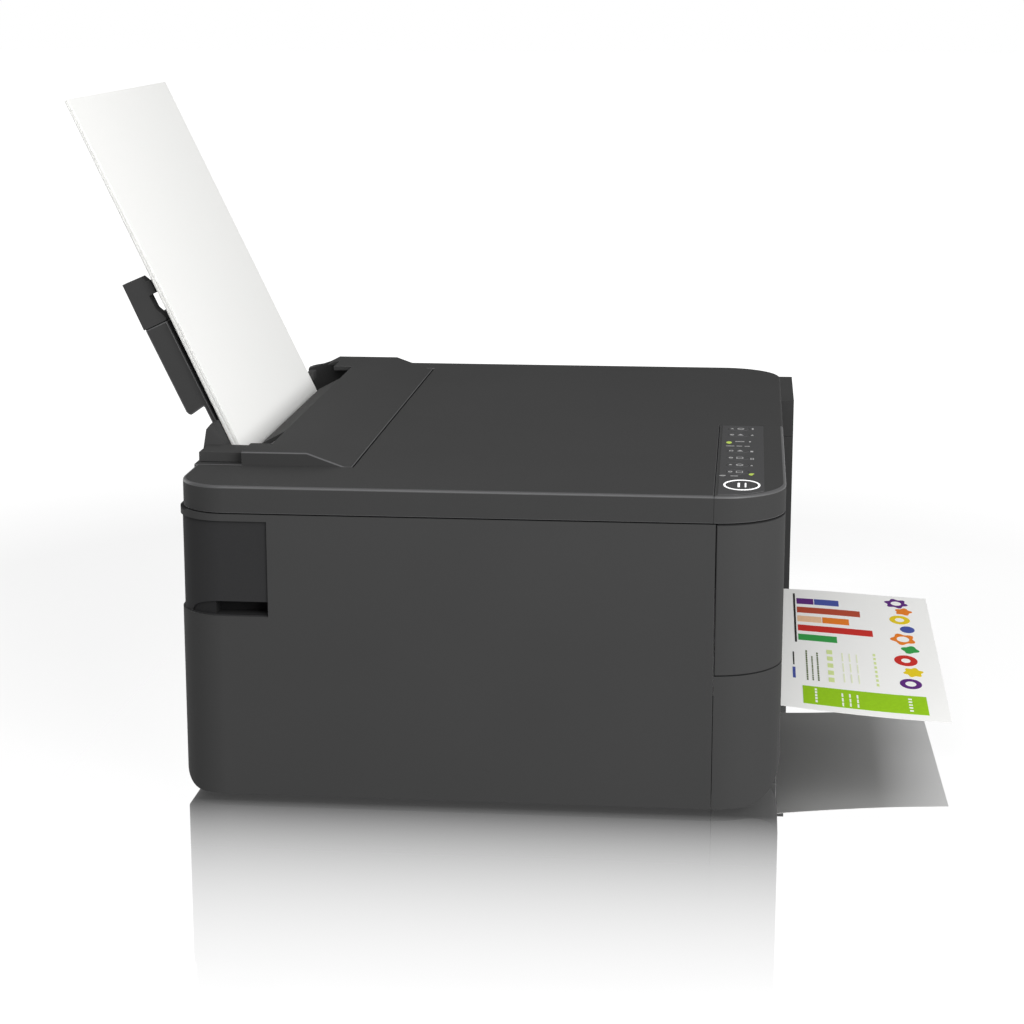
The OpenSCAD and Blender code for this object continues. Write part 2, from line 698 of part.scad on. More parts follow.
function light_places() = [[-hw + 138.2, -hd + 29.1], [-hw + 54.5, -hd + 16.8]];

module panel_lights() {
  color("#b9d84a") in_frame() for (p = light_places())
    translate([p[0], p[1], panel_top - 1.2]) cylinder(r = 1.3, h = 1.2);
}

module round_key(i) {
  color("#424243") in_frame() translate([key_xs[i], key_y, 0]) {
    translate([0, 0, cz0 + 3]) cylinder(r = key_r, h = panel_top - cz0 - 3);
  }
}

module key_1() { round_key(0); }
module key_2() { round_key(1); }
module key_3() { round_key(2); }
module key_4() { round_key(3); }
module key_5() { round_key(4); }
module key_6() { round_key(5); }

module power_key() {
  color("#424243") in_frame() power_form(0, cz0 + 3, panel_top);
}

// ---- print engine ----

module chassis() {
  color("#a9acb0") in_frame() difference() {
    union() {
      for (x = [plate_l, plate_r - 1.5])
        bx([x, exit_axis_y - 12, floor_z + shell_t], [x + 1.5, rod_y + 10, scan_z0 - 2]);
      // front guide beam and rear beam
      bx([plate_l, exit_axis_y + 12, sheet_z + 42], [plate_r, exit_axis_y + 13.5, sheet_z + 66]);
      bx([plate_l, exit_axis_y + 12, sheet_z + 64.5], [plate_r, exit_axis_y + 22, sheet_z + 66]);
      bx([plate_l, rod_y + 8.5, rod_z + 14], [plate_r, rod_y + 10, rod_z + 34]);
      // pulley shelves
      bx([plate_l, belt_y - 12, belt_z - 4], [belt_l + 12, belt_y + 12, belt_z - 2.5]);
      bx([belt_r - 12, belt_y - 12, belt_z - 4], [plate_r, belt_y + 12, belt_z - 2.5]);
    }
    rod_along_x(plate_l - 1, plate_r + 1, feed_axis_y, axis_z, shaft_r + run);
    rod_along_x(plate_l - 1, plate_r + 1, exit_axis_y, axis_z, shaft_r + run);
    rod_along_x(plate_l - 1, plate_r + 1, rod_y, rod_z, rod_r);
    bx([plate_r - 5, -18, tank_seam_z - 10], [plate_r + 1, 6, tank_seam_z - 2]);
    translate([belt_r, belt_y, belt_z - 5]) cylinder(r = 2.5 + run, h = 5);
    translate([belt_l, belt_y, belt_z - 5]) cylinder(r = 2.5 + run, h = 5);
  }
}

module carriage_rod() {
  color("#c4c7ca") in_frame() rod_along_x(plate_l, plate_r, rod_y, rod_z, rod_r);
}

module platen() {
  color("#2a2a2b") in_frame() union() {
    bx([-sheet_w / 2 - 3, exit_axis_y + 8, sheet_z - 8], [sheet_w / 2 - 1, feed_axis_y - 8, sheet_z - 4]);
    for (x = [-90 : 30 : 90])
      bx([x - 1, exit_axis_y + 9, sheet_z - 4.1], [x + 1, feed_axis_y - 9, sheet_z - 1]);
    for (x = [-sheet_w / 2 - 3, sheet_w / 2 - 5])
      bx([x, 0, floor_z + shell_t], [x + 4, feed_axis_y - 8, sheet_z - 7.9]);
  }
}

module star_wheel_bar() {
  color("#2f3032") in_frame() union() {
    bx([-sheet_w / 2, exit_axis_y + 2, sheet_z + 12], [sheet_w / 2, exit_axis_y + 8, sheet_z + 14]);
    rod_along_x(plate_l + 1.5, plate_r - 1.5, exit_axis_y + 4, sheet_z + 12.5, 1.5);
    for (x = [-84 : 28 : 84]) {
      bx([x - 1.5, exit_axis_y - 1, sheet_z + 6], [x + 1.5, exit_axis_y + 4, sheet_z + 13]);
      rod_along_x(x - 2.6, x + 2.6, exit_axis_y, sheet_z + 6, 5.2);
    }
  }
}

module maintenance_station() {
  color("#38393b") in_frame() difference() {
    bx([sheet_w / 2 + 4, -16, floor_z + shell_t], [sheet_w / 2 + 64, 34, sheet_z + 1]);
    bx([sheet_w / 2 + 8, -10, sheet_z - 8], [sheet_w / 2 + 44, 28, sheet_z + 2]);
  }
}

module print_carriage() {
  x0 = carriage_x0;
  x1 = x0 + carriage_w;
  color("#1f1f20") in_frame() difference() {
    union() {
      bx([x0, exit_axis_y + 24, sheet_z + 10], [x1, rod_y - 20, sheet_z + 52]);
      bx([x0 + 12, exit_axis_y + 30, sheet_z + 3.5], [x1 - 12, rod_y - 32, sheet_z + 10.1]);
      bx([x0, rod_y - 20.1, rod_z - 8], [x1, rod_y + 7, rod_z + 8]);
      bx([x0 + 30, belt_y - pulley_r - 5, sheet_z + 51.9], [x0 + 50, belt_y - pulley_r + 4, belt_z - 0.4]);
      bx([x0 + 10, exit_axis_y + 14.5, sheet_z + 44], [x1 - 10, exit_axis_y + 24.1, sheet_z + 50]);
    }
    rod_along_x(x0 - 1, x1 + 1, rod_y, rod_z, rod_r + run);
    bx([x0 + 3, exit_axis_y + 28, sheet_z + 20], [x1 - 3, belt_y - 16, sheet_z + 60]);
  }
}

// outline of the timing belt: two round ends joined by straights
module belt_form(l, r) {
  union() {
    circle(r = r);
    translate([l, 0]) circle(r = r);
    translate([0, -r]) square([l, 2 * r]);
  }
}

module timing_belt() {
  color("#151515") in_frame() translate([belt_l, belt_y, belt_z]) linear_extrude(height = 6) difference() {
    belt_form(belt_r - belt_l, pulley_r + 0.3 + belt_t);
    belt_form(belt_r - belt_l, pulley_r + 0.3);
  }
}

module pulley(x) {
  in_frame() translate([x, belt_y, belt_z - 2]) {
    cylinder(r = pulley_r, h = 10);
    translate([0, 0, -3]) cylinder(r = 2.5, h = 3.1);
  }
}

module drive_pulley() { color("#d8d8d4") pulley(belt_r); }

module idler_pulley() { color("#d8d8d4") pulley(belt_l); }

module carriage_motor() {
  color("#8b8e92") in_frame() translate([belt_r, belt_y, belt_z + 9]) {
    cylinder(r = 12, h = scan_z0 - belt_z - 11);
    translate([-4, -12, 0]) cube([plate_r - 1.5 - belt_r + 4, 24, 2]);
  }
}

module roller(y, ring) {
  rod_along_x(plate_l - 5.5, plate_r + 3, y, axis_z, shaft_r);
  if (ring > 0) for (x = [-84 : 28 : 84]) rod_along_x(x - ring / 2, x + ring / 2, y, axis_z, roller_r);
  if (ring == 0) rod_along_x(-sheet_w / 2 - 2, sheet_w / 2 + 2, y, axis_z, roller_r);
  rod_along_x(plate_l - 5, plate_l - 1, y, axis_z, 6);
}

module feed_roller() {
  color("#4a4b4d") in_frame() roller(feed_axis_y, 0);
}

module exit_roller() {
  color("#303133") in_frame() roller(exit_axis_y, 14);
}

module exit_belt() {
  l = feed_axis_y - exit_axis_y;
  color("#151515") in_frame() translate([plate_l - 4.5, exit_axis_y, axis_z])
    rotate([90, 0, 90]) linear_extrude(height = 3)
    difference() {
      belt_form(l, 6.3 + belt_t);
      belt_form(l, 6.3);
    }
}

module feed_motor() {
  color("#8b8e92") in_frame() {
    rod_along_x(-hw + shell_t + 1, plate_l - 7, feed_axis_y, axis_z, 14);
    bx([-hw + shell_t + 1, feed_axis_y - 14, floor_z + shell_t], [plate_l - 9, feed_axis_y + 14, axis_z - 8]);
  }
}

module power_supply() {
  color("#2a2a2a") in_frame() bx([-hw + 76, hd - 50, floor_z + shell_t], [-hw + 186, hd - 22, floor_z + 42]);
}

module power_inlet() {
  color("#181818") in_frame() difference() {
    bx([-hw + 83, hd - 22, floor_z + 14.5], [-hw + 111, hd, floor_z + 38.5]);
    bx([-hw + 86, hd - 16, floor_z + 17.5], [-hw + 108, hd + 1, floor_z + 35.5]);
  }
}

module main_board() {
  color("#2f6b45") in_frame() bx([12, hd - 17.6, floor_z + shell_t], [112, hd - 16, floor_z + 50]);
}

module usb_port() {
  color("#b4b7ba") in_frame() difference() {
    bx([55, hd - 16, floor_z + 18], [67, hd, floor_z + 29]);
    bx([56, hd - 14, floor_z + 19], [66, hd + 1, floor_z + 28]);
  }
}

// ---- output ----

module output_tray() {
  x = tray_w / 2;
  y0 = -hd + 0.6;
  z0 = floor_z + shell_t + 1;
  color("#353536") in_frame() difference() {
    union() {
      bx([-x, y0, z0], [x, y0 + tray_l, z0 + 3]);
      for (s = [-x, x - 2]) bx([s, y0, z0], [s + 2, y0 + tray_l, z0 + 9]);
      bx([-x, y0, z0], [x, y0 + 3, z0 + 11]);
    }
    bx([-71.4, y0 - 1, z0 + 3], [71.4, y0 + 5, z0 + 12]);
  }
}

module tray_extension() {
  y0 = -hd + 0.6;
  z0 = floor_z + shell_t + 1;
  color("#353536") in_frame() {
    bx([-71, y0, z0 + 3.2], [71, y0 + 100, z0 + 5.4]);
    bx([-71, y0, z0 + 3.2], [71, y0 + 3, z0 + 11]);
  }
}

// heights of the sheet's left and right edges, from the feed roller outwards
page_ys = [feed_axis_y + 8, exit_axis_y - 4, -hd + 55, -hd + 25,
  -hd - 1.5, -hd - 30, -hd - 60, -hd - page_out];
page_left = [0, 0, -1.6, -5.0, -8.1, -11.0, -13.4, -14.9];
page_right = [0, 0, 0.3, 1.0, 1.5, 0.6, -1.2, -2.7];

module printed_page() {
  n = len(page_ys);
  x = sheet_w / 2;
  pts = concat([for (i = [0 : n - 1]) [-x, page_ys[i], sheet_z + page_left[i]]],
    [for (i = [0 : n - 1]) [x, page_ys[i], sheet_z + page_right[i]]],
    [for (i = [0 : n - 1]) [-x, page_ys[i], sheet_z + page_left[i] - sheet_t]],
    [for (i = [0 : n - 1]) [x, page_ys[i], sheet_z + page_right[i] - sheet_t]]);
  top = [for (i = [0 : n - 2]) for (f = [[i, n + i, i + 1], [n + i, n + i + 1, i + 1]]) f];
  bottom = [for (i = [0 : n - 2])
    for (f = [[2 * n + i, 2 * n + i + 1, 3 * n + i], [3 * n + i, 2 * n + i + 1, 3 * n + i + 1]]) f];
  left = [for (i = [0 : n - 2]) for (f = [[i, i + 1, 2 * n + i], [i + 1, 2 * n + i + 1, 2 * n + i]]) f];
  right = [for (i = [0 : n - 2])
    for (f = [[n + i, 3 * n + i, n + i + 1], [n + i + 1, 3 * n + i, 3 * n + i + 1]]) f];
  ends = [[0, 2 * n, n], [n, 2 * n, 3 * n], [n - 1, 2 * n - 1, 3 * n - 1], [2 * n - 1, 4 * n - 1, 3 * n - 1]];
  color("#f6f6f4") in_frame() polyhedron(points = pts, faces = concat(top, bottom, left, right, ends));
}

// ---- ink tank unit ----

module tank_case() {
  color("#38383a") in_frame() difference() {
    union() {
      bx([tank_x0, tank_y0, tank_z0], [tank_x1, tank_y1, tank_seam_z]);
      // pads that rest against the body
      for (y = [-hd + 60, 10]) bx([hw, y, 40], [tank_x0 + 0.1, y + 24, 90]);
    }
    bx([tank_x0 + case_t, tank_y0 + case_t, tank_z0 + case_t],
      [tank_x1 - case_t, tank_y1 - case_t, tank_seam_z + 1]);
    for (i = [0 : 3]) bx([tank_x1 - 5, tank_y0 + case_t + 2 + i * tank_pitch + 7, tank_z0 + 18],
      [tank_x1 + 1, tank_y0 + case_t + 2 + (i + 1) * tank_pitch - 7, tank_seam_z - 22]);
    bx([tank_x0 - 1, -18, tank_seam_z - 10], [tank_x0 + 5, 6, tank_seam_z - 2]);
  }
  // ears and pin of the cover's hinge
  color("#38383a") in_frame() {
    for (x = [tank_x0 + case_t + 1, tank_x1 - case_t - 4]) {
      bx([x, tank_y1 - 7, tank_seam_z - 8], [x + 3, tank_y1 - case_t + 0.1, tank_seam_z - 1]);
      bx([x, tank_y1 - 7, tank_seam_z - 8], [x + 3, tank_hinge_y - 0.1, tank_hinge_z + 2]);
    }
    rod_along_x(tank_x0 + 0.5, tank_x1 - 0.5, tank_hinge_y, tank_hinge_z, pin_r);
  }
}

function tank_y(i) = tank_y0 + case_t + 2 + (i + 0.5) * tank_pitch;
cap_x = tank_x0 + tank_w * 0.6;

module ink_tanks() {
  color("#d7dbe0") in_frame() for (i = [0 : 3]) difference() {
    union() {
      bx([tank_x0 + case_t + 1, tank_y(i) - tank_pitch / 2 + 0.5, tank_z0 + case_t],
        [tank_x1 - case_t - 0.5, tank_y(i) + tank_pitch / 2 - 0.5, tank_top - 4]);
      translate([cap_x, tank_y(i), tank_top - 5]) cylinder(r = cap_r - 1, h = 5);
    }
    translate([cap_x, tank_y(i), tank_z0 + 8]) cylinder(r = cap_r - 3, h = 200);
  }
}

module tank_cap(i) {
  color("#222223") in_frame() translate([cap_x, tank_y(i), tank_top]) {
    cylinder(r = cap_r, h = 7);
    translate([0, 0, -8]) cylinder(r = cap_r - 3.4, h = 8.1);
  }
}

module tank_cap_1() { tank_cap(0); }
module tank_cap_2() { tank_cap(1); }
module tank_cap_3() { tank_cap(2); }
module tank_cap_4() { tank_cap(3); }

module tank_cover() {
  z0 = tank_seam_z + seam;
  z1 = tank_seam_z + tank_cover_h;
  color("#38383a") in_frame() difference() {
    union() {
      difference() {
        bx([tank_x0, tank_y0, z0], [tank_x1, tank_y1, z1]);
        bx([tank_x0 + case_t, tank_y0 + case_t, z0 - 1], [tank_x1 - case_t, tank_y1 - case_t, z1 - case_t]);
        bx([tank_x0 - 1, tank_hinge_y, z0 - 1], [tank_x1 + 1, tank_y1 + 1, tank_hinge_z]);
      }
      bx([tank_x0, tank_y0, z0], [tank_x1, tank_y0 + 10, z1 + tank_lip_h]);
      for (x = [tank_x0, tank_x1 - case_t]) rod_along_x(x, x + case_t, tank_hinge_y, tank_hinge_z, 4.2);
    }
    rod_along_x(tank_x0 - 1, tank_x1 + 1, tank_hinge_y, tank_hinge_z, pin_r + run);
  }
}

// ink tubes from the tanks towards the print head
module ink_tubes() {
  z = tank_seam_z - 6;
  color("#c9ccd2") in_frame() for (i = [0 : 3]) {
    x = tank_x0 + case_t + 3 + 5 * (3 - i);
    y = 6 * (0.5 - i);
    yt = min(tank_y(3 - i), y);
    rod_along_x(0, x, y, z, 1.7);
    translate([x, y, z]) sphere(r = 1.7);
    if (yt < y) translate([x, y, z]) rotate([90, 0, 0]) cylinder(r = 1.7, h = y - yt);
    translate([x, yt, z]) sphere(r = 1.7);
    translate([x, yt, tank_top - 4]) cylinder(r = 1.7, h = z - tank_top + 4);
  }
}

base_tray();
rubber_feet();
housing_screws();
outer_housing();
front_upper_shell();
front_lower_shell();
hinge_pins();
feeder_hump();
feeder_frame();
right_edge_guide();
chassis();
carriage_rod();
platen();
star_wheel_bar();
maintenance_station();
main_board();
power_supply();
power_inlet();
usb_port();
carriage_motor();
feed_motor();
timing_belt();
exit_belt();
ink_tubes();
tank_case();
ink_tanks();
scanner_frame();
scan_glass();
scan_bar();
panel_housing();
panel_overlay();
panel_lights();
power_key();
key_1();
key_2();
key_3();
key_4();
key_5();
key_6();
document_cover();
document_mat();
paper_support();
support_head();
left_edge_guide();
hopper_plate();
pickup_roller();
print_carriage();
drive_pulley();
idler_pulley();
feed_roller();
exit_roller();
output_tray();
tray_extension();
tank_cover();
tank_cap_1();
tank_cap_2();
tank_cap_3();
tank_cap_4();
paper_stack();
printed_page();
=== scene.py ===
"""Looks of a desktop inkjet printer with a flatbed scanner and a side ink tank unit.

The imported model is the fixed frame. Each class below dresses one sub-assembly of
it: it builds the meshes that stand for the plain solids, gives them their finish
and lets them ride on the body that carries them. Lengths are millimetres in the
printer's own axes (origin under the middle of the printer body, front at -Y),
and are turned into metres in the frame's axes by one function.
"""

import json
import logging
import math
from dataclasses import dataclass
from enum import Enum
from typing import Callable, Optional, Sequence

import bmesh
import bpy
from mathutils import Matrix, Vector

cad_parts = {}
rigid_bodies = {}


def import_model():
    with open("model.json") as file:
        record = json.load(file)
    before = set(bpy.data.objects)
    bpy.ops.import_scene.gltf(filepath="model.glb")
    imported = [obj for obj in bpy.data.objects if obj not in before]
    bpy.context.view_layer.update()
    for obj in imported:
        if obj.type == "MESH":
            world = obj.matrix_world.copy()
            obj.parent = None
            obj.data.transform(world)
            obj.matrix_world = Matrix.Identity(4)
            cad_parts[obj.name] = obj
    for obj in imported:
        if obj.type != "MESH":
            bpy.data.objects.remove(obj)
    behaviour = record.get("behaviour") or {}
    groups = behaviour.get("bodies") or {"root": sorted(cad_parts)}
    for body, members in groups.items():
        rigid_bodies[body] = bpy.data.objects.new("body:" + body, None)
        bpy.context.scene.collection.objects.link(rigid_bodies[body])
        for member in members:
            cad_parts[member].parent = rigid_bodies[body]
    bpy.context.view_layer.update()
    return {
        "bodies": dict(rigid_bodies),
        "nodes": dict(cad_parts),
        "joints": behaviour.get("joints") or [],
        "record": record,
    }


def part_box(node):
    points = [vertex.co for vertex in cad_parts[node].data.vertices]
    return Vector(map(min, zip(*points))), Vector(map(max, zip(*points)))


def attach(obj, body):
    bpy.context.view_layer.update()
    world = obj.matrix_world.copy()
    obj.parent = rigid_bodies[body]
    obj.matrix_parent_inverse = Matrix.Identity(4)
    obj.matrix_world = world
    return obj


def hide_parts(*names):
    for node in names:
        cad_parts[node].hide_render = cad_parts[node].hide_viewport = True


log = logging.getLogger("printer")
logging.basicConfig(level=logging.INFO, format="%(message)s")

Point = tuple[float, float, float]
Flat = tuple[float, float]
EdgeRule = Callable[[Vector, Vector], float]
Tree = bpy.types.NodeTree
Socket = bpy.types.NodeSocket
Object = bpy.types.Object
BMesh = bmesh.types.BMesh
Vert = bmesh.types.BMVert

MM = 0.001
SHIFT = Vector((-48.0, 10.0, 0.0))
WHITE = (1.0, 1.0, 1.0, 1.0)
# Edges sharper than these are rounded, and shaded sharp
ROUNDED_DEG = 28.0
SHARP_DEG = 30.0
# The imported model, loaded in main
FRAME: dict = {}


# ---------------------------------------------------------------- small tools


def to_frame(p: Sequence[float]) -> Vector:
    """Turn millimetres in the printer's axes into metres in the frame's axes.

    Args:
        p: X, Y and Z in millimetres.

    Returns:
        The same place in metres.
    """
    return (Vector(p) + SHIFT) * MM


def linear(hex_colour: str) -> tuple[float, float, float, float]:
    """Turn an sRGB hex colour into linear light with full alpha.

    Args:
        hex_colour: Six digits with a leading hash sign.

    Returns:
        Red, green, blue and alpha.
    """
    parts = []
    for i in (1, 3, 5):
        c = int(hex_colour[i : i + 2], 16) / 255
        parts.append(c / 12.92 if c <= 0.04045 else ((c + 0.055) / 1.055) ** 2.4)
    return (parts[0], parts[1], parts[2], 1.0)


def add(tree: Tree, kind: str, settings: Optional[dict] = None, **links: object) -> bpy.types.Node:
    """Add a node, set its properties, and fill or link its inputs.

    Args:
        tree: The node tree.
        kind: The node's type name.
        settings: Properties of the node and, under a number or a name, inputs.
        links: More inputs, with underscores for the spaces in their names.

    Returns:
        The new node.
    """
    node = tree.nodes.new(kind)
    given = dict(settings or {})
    given.update((key.replace("_", " "), value) for key, value in links.items())
    for key, value in given.items():
        if isinstance(key, str) and hasattr(node, key):
            setattr(node, key, value)
        elif isinstance(value, Socket):
            tree.links.new(value, node.inputs[key])
        else:
            node.inputs[key].default_value = value
    return node


def maths(tree: Tree, operation: str, *values: object, kind: str = "") -> Socket:
    """Add a maths node.

    Args:
        tree: The node tree.
        operation: What the node works out.
        values: Its inputs, each a value or a socket.
        kind: "Vector" for vector maths.

    Returns:
        The result.
    """
    node = add(tree, f"ShaderNode{kind}Math", {"operation": operation, **dict(enumerate(values))})
    return node.outputs["Value" if operation in ("DISTANCE", "LENGTH") else 0]


def noise(tree: Tree, place: Socket, size_mm: float, detail: float) -> Socket:
    """Add noise with grains of a given size."""
    return add(tree, "ShaderNodeTexNoise", Vector=place, Scale=1 / (size_mm * MM), Detail=detail).outputs["Fac"]


def spread(tree: Tree, value: Socket, low: float, high: float) -> Socket:
    """Spread a value from 0 to 1 over another range."""
    return add(tree, "ShaderNodeMapRange", {3: low, 4: high}, Value=value).outputs["Result"]


def tinted(tree: Tree, colour: str, value: Socket, low: float, high: float) -> Socket:
    """Vary a colour's brightness between two shares of it."""
    settings = {"operation": "SCALE", 0: linear(colour)[:3]}
    return add(tree, "ShaderNodeVectorMath", settings, Scale=spread(tree, value, low, high)).outputs["Vector"]


def relief(tree: Tree, height: Socket, depth_mm: float, strength: float) -> Socket:
    """Turn a height into a relief of the surface."""
    return add(tree, "ShaderNodeBump", Distance=depth_mm * MM, Strength=strength, Height=height).outputs["Normal"]


def new_material(name: str) -> tuple[bpy.types.Material, Tree, bpy.types.Node]:
    """Start a node material.

    Args:
        name: The material's name.

    Returns:
        The material, its tree and its output node.
    """
    mat = bpy.data.materials.new(name)
    mat.use_nodes = True
    tree = mat.node_tree
    tree.nodes.clear()
    return mat, tree, tree.nodes.new("ShaderNodeOutputMaterial")


# ------------------------------------------------------------------- finishes


@dataclass(frozen=True)
class Substance:
    """What a surface is made of. Each kind says how its shader is fed."""

    name: str
    colour: str

    def build(self) -> bpy.types.Material:
        """Make the material."""
        mat, tree, out = new_material(self.name)
        place = add(tree, "ShaderNodeTexCoord").outputs["Object"]
        shader = add(tree, "ShaderNodeBsdfPrincipled", self.inputs(tree, place))
        tree.links.new(shader.outputs[0], out.inputs["Surface"])
        return mat

    def inputs(self, tree: Tree, place: Socket) -> dict[str, object]:
        """Give the shader's inputs.

        Args:
            tree: The material's node tree.
            place: The place on the piece.

        Returns:
            A value or a socket for each input that differs from the shader's own.
        """
        raise NotImplementedError


@dataclass(frozen=True)
class MouldedPlastic(Substance):
    """Injection-moulded ABS with a spark-eroded texture.

    The tool's texture scatters the light, so the surface looks matt and even; the soft highlight on its rounded edges
    is painted, in a lighter edge finish.
    """

    roughness: float = 0.82
    # Grain of the eroded texture. The real 0.15 mm is too fine to show here.
    grain_mm: float = 0.7
    # Slow change of tone, as melt flow leaves it
    flow_mm: float = 60.0
    bump: float = 0.12
    specular: float = 0.3

    def inputs(self, tree: Tree, place: Socket) -> dict[str, object]:
        """Give the shader's inputs."""
        grain = noise(tree, place, self.grain_mm, 2.0)
        flow = noise(tree, place, self.flow_mm, 2.0)
        return {
            "Base Color": tinted(tree, self.colour, flow, 0.94, 1.06),
            "Roughness": spread(tree, grain, self.roughness - 0.05, self.roughness + 0.05),
            "Specular IOR Level": self.specular,
            "IOR": 1.52,
            "Normal": relief(tree, grain, 0.05, self.bump),
        }


@dataclass(frozen=True)
class PlainSurface(Substance):
    """A surface with a fine irregular grain: rubber, foam, zinc plate or film."""

    roughness: float
    metallic: float = 0.0
    grain_mm: float = 0.5
    bump: float = 0.08
    tone: float = 0.05
    transmission: float = 0.0

    def inputs(self, tree: Tree, place: Socket) -> dict[str, object]:
        """Give the shader's inputs."""
        grain = noise(tree, place, self.grain_mm, 3.0)
        return {
            "Base Color": tinted(tree, self.colour, grain, 1 - self.tone, 1 + self.tone),
            "Metallic": self.metallic,
            "Roughness": self.roughness,
            "IOR": 1.5,
            "Transmission Weight": self.transmission,
            "Normal": relief(tree, grain, 0.05, self.bump),
        }


@dataclass(frozen=True)
class RolledSteel(Substance):
    """Cold-rolled sheet steel: long fine lines along the rolling direction."""

    colour: str = "#b9bbbd"
    roughness: float = 0.34
    line_mm: float = 0.3

    def inputs(self, tree: Tree, place: Socket) -> dict[str, object]:
        """Give the shader's inputs."""
        drawn = add(tree, "ShaderNodeMapping", {"Scale": (0.02, 1.0, 1.0)}, Vector=place).outputs["Vector"]
        lines = noise(tree, drawn, self.line_mm, 2.0)
        return {
            "Base Color": linear(self.colour),
            "Metallic": 1.0,
            "Roughness": spread(tree, lines, self.roughness - 0.08, self.roughness + 0.1),
            "Normal": relief(tree, lines, 0.02, 0.2),
        }


@dataclass(frozen=True)
class CopyPaper(Substance):
    """Uncoated 80 g copy paper: bright, fully matt, with a faint cloudy fibre."""

    colour: str = "#f3f3f1"
    fibre_mm: float = 1.2

    def inputs(self, tree: Tree, place: Socket) -> dict[str, object]:
        """Give the shader's inputs."""
        fibre = noise(tree, place, self.fibre_mm, 4.0)
        return {
            "Base Color": tinted(tree, self.colour, fibre, 0.985, 1.015),
            "Roughness": 0.85,
            "Specular IOR Level": 0.2,
            "Normal": relief(tree, fibre, 0.02, 0.1),
        }


@dataclass(frozen=True)
class LitMark(Substance):
    """An acrylic lamp lens that glows, or screen-printed ink with a painted glow so that it reads brighter than the
    film round it.
    """

    glow: float
    speck_mm: float = 0.8

    def inputs(self, tree: Tree, place: Socket) -> dict[str, object]:
        """Give the shader's inputs."""
        colour = tinted(tree, self.colour, noise(tree, place, self.speck_mm, 1.0), 0.93, 1.07)
        return {"Base Color": colour, "Roughness": 0.4, "Emission Color": colour, "Emission Strength": self.glow}


@dataclass(frozen=True)
class PrintedInk(Substance):
    """Inkjet ink on copy paper: matt, and mottled where the fibres take it up unevenly."""

    mottle_mm: float = 2.0

    def inputs(self, tree: Tree, place: Socket) -> dict[str, object]:
        """Give the shader's inputs."""
        colour = tinted(tree, self.colour, noise(tree, place, self.mottle_mm, 4.0), 0.88, 1.1)
        return {"Base Color": colour, "Roughness": 0.7, "Specular IOR Level": 0.25}


@dataclass(frozen=True)
class InkInTank(Substance):
    """Translucent polypropylene tank wall with ink standing behind it up to a level."""

    level_mm: float
    empty_colour: str = "#b9bec2"
    # Half height of the ink's creep at its level
    creep_mm: float = 0.6

    def inputs(self, tree: Tree, place: Socket) -> dict[str, object]:
        """Give the shader's inputs."""
        height = add(tree, "ShaderNodeSeparateXYZ", Vector=place).outputs["Z"]
        creep = {1: (self.level_mm - self.creep_mm) * MM, 2: (self.level_mm + self.creep_mm) * MM}
        above = add(tree, "ShaderNodeMapRange", creep, Value=height).outputs["Result"]
        shades = {"data_type": "RGBA", 6: linear(self.colour), 7: linear(self.empty_colour), 0: above}
        return {
            "Base Color": add(tree, "ShaderNodeMix", shades).outputs[2],
            "Roughness": spread(tree, noise(tree, place, 1.5, 2.0), 0.3, 0.42),
            "Specular IOR Level": 0.45,
        }


